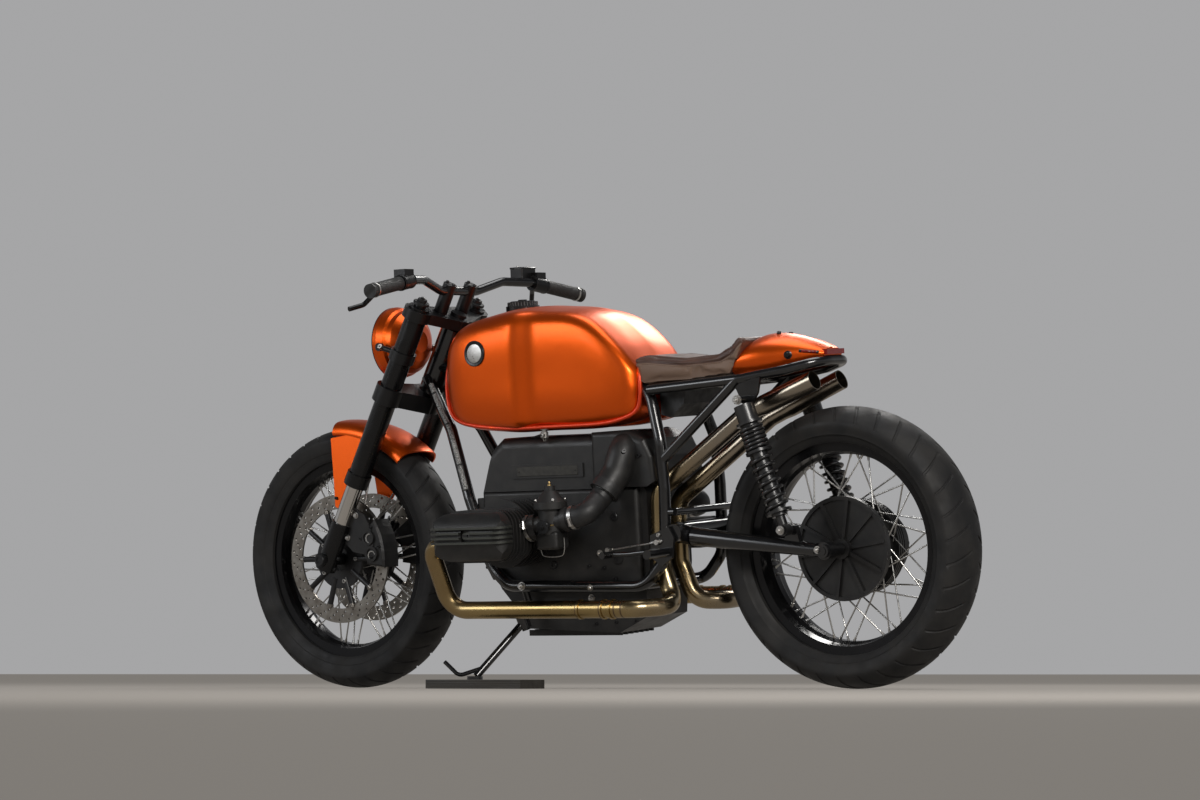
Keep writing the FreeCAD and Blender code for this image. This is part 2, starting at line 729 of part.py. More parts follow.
# Engine
def crankcase():
    """Main casting between the cradle tubes."""
    half = engine_half_width
    outline = [(crankcase_front, crankcase_high), (crankcase_front, 322), (930, crankcase_low),
               (crankcase_rear, crankcase_low), (crankcase_rear, crankcase_high)]
    block = side_plate(outline, -half, half)
    cut = block.makeFillet(10.0, [edge for edge in block.Edges if abs(edge.BoundBox.YLength) < 1])
    pads = []
    for side, x in ((1, cylinder_left_x), (-1, cylinder_right_x)):
        low, high = sorted((side * (half - 4), side * (half + 8)))
        pads.append(disc(V(x, 0, cylinder_z), barrel_radius + 16, low, high))
    return joined([cut] + pads)


def front_cover():
    """Rounded cover over the front of the crankcase."""
    half = engine_half_width - 8
    face = Part.Face(Part.makePolygon([V(crankcase_front, y, z) for y, z in (
        (-half, 470), (-half, 330), (-50, 268), (50, 268), (half, 330), (half, 470), (-half, 470))]))
    block = face.extrude(V(24, 0, 0))
    return block.makeFillet(9.0, [edge for edge in block.Edges if edge.BoundBox.XMin > crankcase_front + 20])


def engine_top_cover():
    """Long ribbed cover on top of the crankcase with a blank name plate recess."""
    half = engine_half_width - 2
    outline = [(crankcase_front - 4, crankcase_high), (932, 596), (912, cover_high), (642, cover_high),
               (642, crankcase_high)]
    block = side_plate(outline, -half, half)
    top = [edge for edge in block.Edges if edge.BoundBox.ZMin > 590 and edge.BoundBox.YLength < 1]
    block = block.makeFillet(26.0, top)
    pieces = [block]
    for side in (-1, 1):
        low, high = sorted((side * (half - 2), side * (half + 4)))
        pieces.append(side_plate([(877, 514), (877, 547), (670, 547), (670, 514)], low, high))
    return joined(pieces)


def air_box():
    """Air filter housing behind the top cover, with a curved duct down to each intake hose."""
    half = engine_half_width + 6
    outline = [(642, 486), (642, 618), (540, 618), (490, 598), (468, 556), (462, 500), (486, 486)]
    block = side_plate(outline, -half, half)
    rear = [edge for edge in block.Edges if edge.BoundBox.XMax < 560 and edge.BoundBox.ZMin > 490]
    block = block.makeFillet(16.0, [edge for edge in rear if edge.BoundBox.YLength < 1])
    sides = [edge for edge in block.Edges if edge.BoundBox.YLength < 0.1 and edge.BoundBox.ZMax > 600]
    block = block.makeFillet(12.0, sides)
    ducts = []
    for side in (-1, 1):
        mouth = V(*duct_mouth)
        top = [V(556, half - 34, 588), V(546, half + 2, 574), mouth + duct_line() * -30, mouth]
        duct = bent_bar([V(point.x, side * point.y, point.z) for point in top], 35.0, 60.0)
        ducts.append(duct)
    return joined([block] + ducts)


def duct_line():
    """Unit direction in which the duct's mouth faces."""
    return V(0.32, 0.55, -0.77).normalize()


def gearbox():
    """Gearbox casting behind the crankcase with the drive shaft's boot."""
    half = engine_half_width - 14
    outline = [(crankcase_rear, crankcase_high), (crankcase_rear, crankcase_low), (508, crankcase_low - 2),
               (502, 300), (502, 470), (508, crankcase_high)]
    block = side_plate(outline, -half, half)
    boss = rod(V(512, -78, 372), V(436, -96, 374), 30.0)
    return joined([block, boss])


def oil_pan():
    """Finned sump under the crankcase."""
    half = engine_half_width - 16
    outline = [(936, crankcase_low), (908, 214), (888, 153), (600, 140), (522, 176), (516, 240), (524, crankcase_low)]
    block = side_plate(outline, -half, half)
    ribs = [Part.makeBox(270, 5, 14, V(606, y, 133)) for y in range(-66, 67, 22)]
    return joined([block] + ribs)


def cylinder(side, x):
    """Finned barrel from the crankcase to the head."""
    start = engine_half_width + 8
    pieces = [disc(V(x, 0, cylinder_z), barrel_radius, start, start + barrel_length)]
    pitch = barrel_length / (barrel_fin_count + 1)
    for index in range(barrel_fin_count):
        low = start + pitch * (index + 1)
        pieces.append(disc(V(x, 0, cylinder_z), barrel_fin_radius, low, low + fin_thick))
    whole = joined(pieces)
    return whole if side > 0 else mirrored(whole)


def cylinder_head(side, x):
    """Finned head with the inlet stub behind and the exhaust stub in front."""
    start = engine_half_width + 8 + barrel_length
    core = Part.makeBox(144, head_length, 96, V(x - 72, start, cylinder_z - 48))
    pieces = [core]
    pitch = head_length / head_fin_count
    for index in range(head_fin_count):
        low = start + pitch * index + 3
        plate = Part.makeBox(head_half_x * 2, fin_thick, head_half_z * 2,
                             V(x - head_half_x, low, cylinder_z - head_half_z))
        upright = [edge for edge in plate.Edges if edge.BoundBox.YLength > 1]
        pieces.append(plate.makeFillet(40.0, upright))
    middle = start + head_length / 2
    pieces.append(rod(V(x + 60, middle, cylinder_z - 14), V(x + head_half_x + 14, middle, cylinder_z - 20), 27.0))
    inlet = inlet_side()
    pieces.append(rod(V(x - 54, inlet, cylinder_z + 8), V(x - head_half_x - 6, inlet, cylinder_z + 14), 25.0))
    whole = joined(pieces)
    return whole if side > 0 else mirrored(whole)


def inlet_side():
    """Distance from the middle of the machine to the inlet stub's centre."""
    return engine_half_width + 8 + barrel_length + 4


def rocker_cover(side, x):
    """Domed cover on the head with fins wrapped round its outer face and a nut's pocket."""
    start = engine_half_width + 8 + barrel_length + head_length
    fins = []
    for index in range(rocker_fin_count):
        z = cylinder_z + (index - 0.5 * (rocker_fin_count - 1)) * rocker_fin_pitch + 5
        slab = rocker_plan(x, start + 4, rocker_fin_proud)
        slab.translate(V(0, 0, z - 2.5))
        fins.append(slab.extrude(V(0, 0, 5)))
    plan = rocker_plan(x, start, 0.0)
    plan.translate(V(0, 0, cylinder_z - rocker_half_z - 5))
    tower = plan.extrude(V(0, 0, rocker_half_z * 2 + 10))
    lip = 12.0
    reach = rocker_length
    edge_low = V(x - rocker_half_x - 5, start, cylinder_z - rocker_half_z)
    edge_high = V(x - rocker_half_x - 5, start, cylinder_z + rocker_half_z)
    out = V(0, lip, 0)
    bulge = Part.Arc(edge_high + out, V(x - rocker_half_x - 5, start + rocker_length, cylinder_z), edge_low + out)
    side_view = Part.Wire([Part.makeLine(edge_low, edge_high), Part.makeLine(edge_high, edge_high + out),
                           bulge.toShape(), Part.makeLine(edge_low + out, edge_low)])
    dome = Part.Face(side_view).extrude(V(rocker_half_x * 2 + 10, 0, 0)).common(tower)
    rounded = Part.makeBox(rocker_half_x * 2, reach * 2, rocker_half_z * 2,
                           V(x - rocker_half_x, start - 1, cylinder_z - rocker_half_z))
    rounded = rounded.makeFillet(42.0, [edge for edge in rounded.Edges if edge.BoundBox.YLength > reach])
    whole = joined([dome.common(rounded)] + fins)
    pocket = Part.makeBox(22, 20, 26, V(x - 11, start + rocker_length - 8, cylinder_z - 9))
    nut = disc(V(x, 0, cylinder_z + 4), 7.5, start + rocker_length - 12, start + rocker_length - 1)
    whole = joined([whole.cut(pocket), nut])
    return whole if side > 0 else mirrored(whole)


def rocker_plan(x, start, proud):
    """Plan of the cover from above: wide at the head, with large round corners outside."""
    half = rocker_half_x + proud
    reach = rocker_length + proud
    corner = 34.0
    turn = corner * (1 - math.sqrt(0.5))
    points = [V(x - half, start, 0), V(x - half, start + reach - corner, 0), V(x - half + corner, start + reach, 0),
              V(x + half - corner, start + reach, 0), V(x + half, start + reach - corner, 0), V(x + half, start, 0)]
    first = Part.Arc(points[1], V(x - half + turn, start + reach - turn, 0), points[2])
    second = Part.Arc(points[3], V(x + half - turn, start + reach - turn, 0), points[4])
    return Part.Face(Part.Wire([Part.makeLine(points[0], points[1]), first.toShape(),
                                Part.makeLine(points[2], points[3]), second.toShape(),
                                Part.makeLine(points[4], points[5]), Part.makeLine(points[5], points[0])]))


def inlet_line(x):
    """Ends of the carburettor, from the head's inlet stub to its hose."""
    side = inlet_side()
    head_end = V(x - head_half_x - 6, side, cylinder_z + 14)
    carb_end = V(x - head_half_x - 108, side - 10, cylinder_z + 33)
    return head_end, carb_end


def carburettor(side, x):
    """Body with a domed top, float bowl and a clamp at each end."""
    front, back = inlet_line(x)
    pieces = [rod(front, back, 24.0)]
    along = (back - front).normalize()
    pieces.append(rod(front, front + along * 16, 30.0))
    pieces.append(rod(back - along * 14, back, 29.0))
    middle = (front + back) * 0.5
    pieces.append(Part.makeCylinder(40.0, 16, middle + V(0, 0, 34), V(0, 0, 1)))
    pieces.append(Part.makeCone(38.0, 16.0, 26, middle + V(0, 0, 50), V(0, 0, 1)))
    pieces.append(Part.makeCylinder(13.0, 14, middle + V(0, 0, 74), V(0, 0, 1)))
    pieces.append(Part.makeCylinder(30.0, 60, middle + V(0, 0, -26), V(0, 0, 1)))
    bowl = Part.makeBox(62, 54, 44, middle + V(-31, -27, -62))
    pieces.append(bowl.makeFillet(9.0, bowl.Edges))
    whole = joined(pieces)
    return whole if side > 0 else mirrored(whole)


def intake_hose(side, x):
    """Rubber bend from the carburettor up to the air box's duct, with a wider cuff."""
    front, back = inlet_line(x)
    mouth = V(*duct_mouth)
    along = (back - front).normalize()
    points = [back, back + along * 44, mouth + duct_line() * 44, mouth]
    hose = bent_bar(points, 27.0, 34.0)
    cuff = rod(mouth, mouth + duct_line() * 26, 37.0)
    hose = joined([hose, cuff])
    if side < 0:
        hose = mirrored(hose)
    return hose


# Exhaust
def exhaust_route(side):
    """Points along one pipe from the head's port to the tail."""
    x = cylinder_left_x if side > 0 else cylinder_right_x
    port_y = engine_half_width + 8 + barrel_length + head_length / 2
    start = V(x + head_half_x + 14, port_y, cylinder_z - 20)
    points = [start, V(x + head_half_x + 78, port_y, 362), V(x + head_half_x + 66, pipe_run_y + 6, pipe_run_z + 2)]
    if side > 0:
        points += [V(470, pipe_run_y, pipe_run_z), V(418, 150, pipe_run_z), V(440, 92, pipe_run_z + 10),
                   V(474, 82, 300), V(474, 78, 474), V(232, 58, 646), V(42, 58, 716)]
        return points
    points += [V(420, pipe_run_y - 4, pipe_run_z), V(380, 150, pipe_run_z), V(376, 30, pipe_run_z),
               V(440, 2, pipe_run_z + 4), V(476, 2, 300), V(476, 2, 446), V(232, 48, 632), V(38, 56, 714)]
    right = []
    for index, point in enumerate(points):
        right.append(V(point.x, -point.y, point.z))
    return right


def exhaust(side):
    """Header, run, riser and open tip of one cylinder's pipe."""
    points = exhaust_route(side)
    pipe = bent_bar(points, pipe_radius, 52.0)
    end = points[-1]
    back = (points[-2] - end).normalize()
    tip = rod(end, end + back * tip_length, tip_radius)
    cone = taper(end + back * tip_length, end + back * (tip_length + 24), tip_radius, pipe_radius)
    collars = []
    run = (points[3] - points[2]).normalize()
    for reach in (60, 84, 150):
        place = points[3] - run * reach
        collars.append(rod(place, place + run * 7, pipe_radius + 2.5))
    bore = rod(end - back * 2, end + back * (tip_length - 10), tip_radius - pipe_wall)
    return joined([pipe, tip, cone] + collars).cut(bore)


# Tank and seat
def tank_stations():
    """Place along the tank, half width, top, base and shoulder radius, from the nose back to the seat."""
    half, top, low = tank_half_width, tank_top, tank_low
    knee = half - knee_step
    nose = [(0, half - 62, top - 118, low + 88, 38), (6, half - 42, top - 84, low + 58, 48),
            (20, half - 25, top - 57, low + 35, 56), (46, half - 12, top - 34, low + 19, 60),
            (90, half - 4, top - 18, low + 9, 62), (145, half, top - 7, low + 4, 62)]
    rest = [(354, half + 3, top, low, 59), (326, half + 1, top, low, 56), (290, knee + 4, top - 1, low, 52),
            (254, knee, top - 4, low, 48), (166, knee + 1, top - 15, low, 42), (108, knee + 1, top - 42, low + 3, 38),
            (70, knee, top - 74, low + 8, 34), (42, knee - 3, top - 103, low + 13, 32),
            (22, knee - 7, top - 128, low + 20, 30), (8, knee - 16, top - 146, low + 30, 28),
            (0, knee - 34, top - 160, low + 44, 26)]
    return ([(tank_front - back, a, b, c, d) for back, a, b, c, d in nose]
            + [(tank_rear + ahead, a, b, c, d) for ahead, a, b, c, d in rest])


def tank_section(x, half, top, low, rounding):
    """Closed section across the tank: crowned top, round shoulder, full side and tucked-in base."""
    rounding = min(rounding, 0.4 * (top - low))
    edge = half - rounding
    shoulder = top - tank_crown - rounding
    right = [(edge * 0.55, top - tank_crown * 0.35), (edge, top - tank_crown)]
    for turn in (30, 60, 90):
        angle = math.radians(turn)
        right.append((edge + rounding * math.sin(angle), shoulder + rounding * math.cos(angle)))
    right += [(half + 2, (shoulder + low) / 2 + 10), (half - 3, low + 36), (half - 12, low + 13), (half - 32, low + 1)]
    left = [(-y, z) for y, z in reversed(right)]
    points = [V(x, 0, top)] + [V(x, y, z) for y, z in right] + [V(x, 0, low)] + [V(x, y, z) for y, z in left]
    return smooth_loop(points)


def tank_seam():
    """Welded lip along the left base of the tank and up its nose and rear edge."""
    front, rear, low = tank_front, tank_rear, tank_low
    side = tank_half_width - 22
    points = [V(front - 8, side - 46, low + 204), V(front + 1, side - 30, low + 150), V(front - 1, side - 20, low + 98),
              V(front - 13, side - 14, low + 54), V(front - 42, side - 6, low + 29), V(front - 100, side + 1, low + 15),
              V(front - 200, side + 1, low + 6), V(rear + 250, side - 9, low + 6), V(rear + 110, side - 14, low + 8),
              V(rear + 42, side - 18, low + 19), V(rear + 8, side - 22, low + 36), V(rear - 3, side - 24, low + 64),
              V(rear - 3, side - 27, low + 104), V(rear + 3, side - 36, low + 140)]
    curve = Part.BSplineCurve()
    curve.interpolate(Points=points)
    path = Part.Wire(curve.toShape())
    ring = Part.Wire(Part.makeCircle(seam_radius, points[0], curve.tangent(curve.FirstParameter)[0]))
    return path.makePipeShell([ring], True, False)


def fuel_tank(frame, top_cover):
    """Slab-sided tank with knee recesses, a seam lip and a tunnel over the frame."""
    body = Part.makeLoft([tank_section(*station) for station in tank_stations()], True, False)
    lip = tank_seam()
    whole = body.fuse(lip).fuse(mirrored(lip))
    under = tank_low - 60
    tunnel = side_plate([(tank_front + 30, under), (tank_front + 30, tunnel_front_high),
                         (tank_rear + 80, tunnel_rear_high), (tank_rear + 58, tunnel_rear_high - 36),
                         (tank_rear - 30, tunnel_rear_high - 52), (tank_rear - 30, under)],
                        -tunnel_half_width, tunnel_half_width)
    whole = whole.cut(tunnel)
    return main_solid(cut_by(whole, [frame, top_cover]))


def filler_cap(tank):
    """Round cap screwed into the top of the tank."""
    low = V(tank_front - filler_from_nose, 0, tank_top - 10)
    cap = Part.makeCylinder(filler_radius, filler_height, low, V(0, 0, 1))
    collar = Part.makeCylinder(filler_radius + 5, filler_height - 10, low, V(0, 0, 1))
    return main_solid(joined([cap, collar]).cut(tank))


def seat_pad(neighbours):
    """Closed cushion from the tank to the cowl, rising at its back."""
    half = seat_half_width
    outline = [(508, 724), (506, 790), (470, 792), (370, 781), (270, 786), (236, 800), (208, 826), (200, 816),
               (238, 740), (370, 727)]
    block = side_plate(outline, -half, half)
    top = [edge for edge in block.Edges if edge.BoundBox.ZMin > 750 and edge.BoundBox.YLength < 1]
    block = block.makeFillet(12.0, [edge for edge in top if edge.BoundBox.XLength > 40])
    return main_solid(cut_by(block, neighbours))


def tail_cowl():
    """Humped tail over the back of the seat rails."""
    half = cowl_half_width
    wires = []
    for x, width, low, high in ((240, half, 741, 792), (200, half, 741, 822), (150, half - 6, 744, 828),
                                (100, half - 22, 752, 820), (60, half - 40, 760, 807), (24, half - 62, 768, 790)):
        ring = [V(x, 0, high), V(x, width * 0.62, high - (high - low) * 0.14), V(x, width * 0.97, (low + high) / 2 - 4),
                V(x, width * 0.9, low + 4), V(x, 0, low), V(x, -width * 0.9, low + 4),
                V(x, -width * 0.97, (low + high) / 2 - 4), V(x, -width * 0.62, high - (high - low) * 0.14)]
        wires.append(smooth_loop(ring))
    return Part.makeLoft(wires, True, False)


def electrics_tray(frame, rails, tank):
    """Black box under the front of the seat."""
    outline = [(456, 709), (456, 652), (430, 645), (392, 676), (384, 709)]
    block = side_plate(outline, -78, 78)
    return main_solid(cut_by(block, [frame, rails, tank]))


def tail_lamp(cowl, rails):
    """Slim red lamp let into the cowl's end."""
    block = Part.makeBox(14, 76, 12, V(16, -38, 774))
    return main_solid(cut_by(block, [cowl, rails]))


# Rear suspension
def swing_arm(frame, box):
    """Cross tube with a tapered left leg, the shaft leg and a lug at each axle end."""
    pivot = V(swing_pivot_x, 0, swing_pivot_z)
    cross = disc(pivot, swing_cross_radius, 22 - cradle_half_spread, cradle_half_spread - 22)
    leg_start = V(swing_pivot_x - 6, swing_leg_y - 14, swing_pivot_z - 4)
    elbow = V(swing_pivot_x - 44, swing_leg_y, swing_pivot_z - 10)
    leg_end = V(26, swing_leg_y, rear_tyre_radius + 2)
    pieces = [cross, rod(leg_start, elbow, swing_leg_front_radius)]
    pieces.append(taper(elbow, leg_end, swing_leg_front_radius, swing_leg_rear_radius))
    pieces.append(disc(REAR_AXLE, 20.0, swing_leg_y - 14, swing_leg_y + 14))
    pieces.append(Part.makeBox(40, 24, 22, V(0, swing_leg_y - 12, rear_tyre_radius - 11)))
    shaft_start = V(swing_pivot_x, -swing_leg_y + 6, swing_pivot_z)
    pieces.append(rod(shaft_start, V(56, -swing_leg_y, rear_tyre_radius + 4), shaft_leg_radius))
    for side in (-1, 1):
        x, z = shock_low
        low, high = sorted((side * (swing_leg_y - 8), side * (swing_leg_y + 8)))
        pieces.append(side_plate([(x - 26, 330), (x + 22, 334), (x + 12, z + 8), (x - 12, z + 8)], low, high))
        low, high = sorted((side * (swing_leg_y - 8), side * (shock_y + 20)))
        pieces.append(disc(V(x, 0, z), 8.0, low, high))
    axle = disc(REAR_AXLE, rear_axle_radius, final_drive_inner - 6, swing_leg_y + 24)
    spacer = disc(REAR_AXLE, 15.0, rear_hub_left + 10, swing_leg_y - 12)
    nut = disc(REAR_AXLE, 16.0, swing_leg_y + 14, swing_leg_y + 22)
    return main_solid(cut_by(joined(pieces + [axle, spacer, nut]), [frame, box]))


def final_drive(arm):
    """Bevel drive housing with a ribbed cover on the right of the wheel."""
    pieces = [disc(REAR_AXLE, final_drive_radius, final_drive_outer + 22, final_drive_inner)]
    pieces.append(taper(V(0, final_drive_outer + 22, rear_tyre_radius), V(0, final_drive_outer, rear_tyre_radius),
                        final_drive_radius - 4, final_drive_radius - 34))
    rib = Part.makeBox(final_drive_radius - 20, 14, 7, REAR_AXLE + V(14, final_drive_outer + 10, -3.5))
    for index in range(8):
        pieces.append(rib.copy().rotate(REAR_AXLE, ALONG_Y, 45 * index))
    housing = joined(pieces)
    return main_solid(cut_by(housing, [arm]))


def coil(start, along, turns, pitch):
    """Spring wire wound round the damper from a point up its line."""
    ring_radius = shock_spring_radius - spring_wire_radius
    line = Part.Wire(Part.makeHelix(pitch, pitch * turns, ring_radius).Edges)
    section = Part.Wire(Part.makeCircle(spring_wire_radius, V(ring_radius, 0, 0), ALONG_Y))
    wire = line.makePipeShell([section], True, True)
    wire.Placement = FreeCAD.Placement(start, FreeCAD.Rotation(V(0, 0, 1), along))
    return wire


def shock(side, arm, rails):
    """Damper between two eyes, with an open spring below and a close-wound one above."""
    top = V(shock_top[0], shock_y, shock_top[1])
    low = V(shock_low[0], shock_y, shock_low[1])
    up = (top - low).normalize()
    length = (top - low).Length
    pieces = [disc(top, 14.0, shock_y - 13, shock_y + 13), disc(low, 14.0, shock_y - 13, shock_y + 13)]
    pieces.append(rod(low + up * 4, low + up * 70, 11.0))
    pieces.append(rod(low + up * 34, top - up * 36, shock_body_radius))
    pieces.append(rod(top - up * 54, top - up * 14, shock_body_radius + 5))
    tight = tight_turns * tight_pitch
    spring_low = 48.0
    divide = length - 62.0 - tight - spring_wire_radius * 2
    for place in (spring_low - 7, divide - 3, length - 60):
        pieces.append(rod(low + up * place, low + up * (place + 6), shock_spring_radius + 2))
    inset_end = spring_wire_radius + spring_seat_gap
    first = spring_low - 1 + inset_end
    open_pitch = (divide - 3 - inset_end - first) / open_turns
    springs = [coil(low + up * first, up, open_turns, open_pitch),
               coil(low + up * (divide + 3 + inset_end), up, tight_turns,
                    (length - 60 - inset_end - divide - 3 - inset_end) / tight_turns)]
    whole = joined(pieces)
    if side < 0:
        whole = mirrored(whole)
        springs = [mirrored(spring) for spring in springs]
    return Part.makeCompound([main_solid(cut_by(whole, [arm, rails]))] + springs)


def rearset(side, frame):
    """Footpeg plate with its peg and pedal."""
    low, high = cradle_half_spread + 6, cradle_half_spread + 14
    plate = side_plate([(462, 372), (410, 392), (396, 366), (404, 318), (432, 300), (462, 320)], low, high)
    spacers = [disc(V(x, 0, z), 9.0, cradle_half_spread - 24, low + 1) for x, z in ((434, 364), (436, 318))]
    peg = disc(V(416, 0, 332), 11.0, high - 1, high + 86)
    knee = V(446, high + 8, 336)
    pedal = bent_bar([V(446, high - 2, 336), knee, V(520, high + 12, 330), V(566, high + 14, 330)], 6.0, 8.0)
    toe = disc(V(566, 0, 330), 8.0, high + 6, high + 52)
    whole = joined([plate, peg, pedal, toe] + spacers)
    if side < 0:
        whole = mirrored(whole)
    return main_solid(cut_by(whole, [frame]))


# Side stand
def stand_foot():
    """Centre of the foot pad, set on top of the board under the leaning machine."""
    height = board_thick - tyre_drop + foot_gap + foot_half_thick
    return V(stand_foot_x, stand_foot_y, (height + stand_foot_y * math.sin(lean)) / math.cos(lean))


def stand_directions():
    """Unit vectors of the leg when down and when folded, and the hinge axis, tilted so that the foot only rises."""
    down = (stand_foot() - V(*stand_pivot)).normalize()
    folded = V(*stand_folded).normalize()
    tilt = math.radians(stand_hinge_tilt)
    across = down.cross(folded).normalize()
    between = (down + folded).normalize()
    return down, folded, across * math.cos(tilt) - between * math.sin(tilt)


def side_stand():
    """Leg on a pivot eye with a foot pad and a tang for the rider's foot."""
    pivot = V(*stand_pivot)
    foot = stand_foot()
    down, _, axis = stand_directions()
    eye = Part.makeCylinder(stand_eye_radius, stand_eye_thick, pivot - axis * stand_eye_thick / 2, axis)
    leg = rod(pivot, foot - down * 6, stand_leg_radius)
    pad = rod(foot - UP_FLOOR * foot_half_thick, foot + UP_FLOOR * foot_half_thick, 19.0)
    tang_points = [foot - down * 34, V(foot.x + 38, foot.y + 12, foot.z + 6), V(foot.x + 74, foot.y + 18, foot.z + 40)]
    tang = bent_bar(tang_points, 5.0, 20.0)
    pin_way = rod(pivot - axis * 40, pivot + axis * 40, stand_pin_radius + bearing_gap)
    return joined([eye, leg, pad, tang]).cut(pin_way)


def stand_board(floor):
    """Plank that the stand's foot rests on, flat on the floor."""
    return Part.makeBox(board_front - board_rear, board_outer - board_inner, board_thick,
                        V(board_rear, board_inner, floor))


# Placing and writing
def steered(shape):
    """Turn a piece with the steering to its resting angle."""
    shape = shape.copy()
    shape.rotate(at_fork(-yoke_offset, 0, 0), UP_FORK, steer_deg)
    return shape


def leaned(shape):
    """Lean a piece over with the whole machine."""
    shape = shape.copy()
    shape.rotate(V(0, 0, 0), V(1, 0, 0), -lean_deg)
    return shape


def upright_pieces():
    """Every piece that is fixed to the frame, before the lean."""
    frame = main_frame()
    rails = rear_frame(frame)
    cover = engine_top_cover()
    box = cut_by(air_box(), [frame])
    tank = fuel_tank(frame, cover)
    cowl = main_solid(cut_by(tail_cowl(), [rails]))
    gears = main_solid(cut_by(gearbox(), [frame]))
    arm = swing_arm(frame, gears)
    pieces = {"main_frame": frame, "rear_frame": rails, "engine_top_cover": cut_by(cover, [frame]),
              "crankcase": main_solid(cut_by(joined([crankcase(), front_cover()]), [frame])), "oil_pan": oil_pan(),
              "air_box": box, "gearbox": gears, "fuel_tank": tank, "filler_cap": filler_cap(tank),
              "tail_cowl": cowl, "seat_pad": seat_pad([tank, cowl, frame, rails]),
              "electrics_tray": electrics_tray(frame, rails, tank), "tail_lamp": tail_lamp(cowl, rails),
              "swing_arm": arm, "final_drive": final_drive(arm)}
    hoses = []
    for name, side, x in (("left", 1, cylinder_left_x), ("right", -1, cylinder_right_x)):
        head = cylinder_head(side, x)
        carb = main_solid(cut_by(carburettor(side, x), [head]))
        pieces["cylinder_" + name] = joined([cylinder(side, x), head])
        pieces["rocker_cover_" + name] = rocker_cover(side, x)
        pieces["carburettor_" + name] = carb
        hoses.append(main_solid(cut_by(intake_hose(side, x), [box, carb])))
        pieces["exhaust_" + name] = main_solid(cut_by(exhaust(side), [head, rails, box]))
        pieces["shock_" + name] = shock(side, arm, rails)
        pieces["rearset_" + name] = rearset(side, frame)
    pieces["intake_hoses"] = Part.makeCompound(hoses)
    return pieces


def steered_pieces():
    """Every piece that turns with the fork, before it is turned."""
    legs = [fork_leg(fork_half_spread), fork_leg(-fork_half_spread)]
    shell = headlight_shell()
    axle = front_axle()
    arch = cut_by(front_fender(), legs)
    return {"fork_left": legs[0], "fork_right": legs[1], "front_axle": axle,
            "upper_yoke": upper_yoke(legs).cut(handlebar()), "lower_yoke": lower_yoke(legs),
            "handlebar": handlebar(), "grips": Part.makeCompound([grip(1), grip(-1)]),
            "controls_left": lever_group(), "controls_right": brake_group(),
            "headlight_shell": shell, "headlight_lens": headlight_lens(),
            "headlight_brackets": headlight_brackets(legs, shell), "front_fender": arch,
            "brake_calipers": Part.makeCompound([caliper(1, legs), caliper(-1, legs)])}


def front_wheel_pieces():
    """Front tyre, rim, hub, spokes and both discs."""
    ring = rim(FRONT_AXLE, front_rim_width)
    hub = front_hub()
    left_disc = brake_disc()
    laced = spokes(FRONT_AXLE, front_spoke_count, front_flange_radius - 4, flange_half_spread + 4, ring).cut(hub)
    return {"front_tyre": tyre(FRONT_AXLE, front_tyre_radius, front_tyre_width, front_rim_width),
            "front_rim": ring, "front_hub": hub, "front_spokes": laced,
            "brake_discs": Part.makeCompound([left_disc, mirrored(left_disc)])}


def rear_wheel_pieces():
    """Rear tyre, rim, hub and spokes."""
    ring = rim(REAR_AXLE, rear_rim_width)
    hub = rear_hub()
    laced = spokes(REAR_AXLE, rear_spoke_count, rear_hub_radius - 2, 26, ring).cut(hub)
    return {"rear_tyre": tyre(REAR_AXLE, rear_tyre_radius, rear_tyre_width, rear_rim_width),
            "rear_rim": ring, "rear_hub": hub, "rear_spokes": laced}


def placed_pieces():
    """All pieces in the row's frame, keyed by node name."""
    placed = {}
    for name, shape in upright_pieces().items():
        placed[name] = leaned(shape)
    for name, shape in rear_wheel_pieces().items():
        placed[name] = leaned(shape)
    for group in (steered_pieces(), front_wheel_pieces()):
        for name, shape in group.items():
            placed[name] = leaned(steered(shape))
    placed["side_stand"] = leaned(side_stand())
    floor = min(placed[name].optimalBoundingBox(False).ZMin for name in ("rear_tyre", "front_tyre"))
    placed["stand_board"] = stand_board(floor)
    bounds = FreeCAD.BoundBox()
    for shape in placed.values():
        bounds.add(shape.optimalBoundingBox(False))
    shift = V(-bounds.Center.x, -bounds.Center.y, -bounds.ZMin)
    for shape in placed.values():
        shape.translate(shift)
    return placed, shift


def write_pieces():
    os.makedirs("parts", exist_ok=True)
    placed, shift = placed_pieces()
    for name, shape in placed.items():
        shape.exportStep("parts/" + name + ".step")
        print(name, len(shape.Solids), shape.isValid(), round(shape.Volume / 1000, 1))
    print("shift", shift)


write_pieces()
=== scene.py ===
import bpy
import math
from mathutils import Matrix, Vector
from mathutils.bvhtree import BVHTree


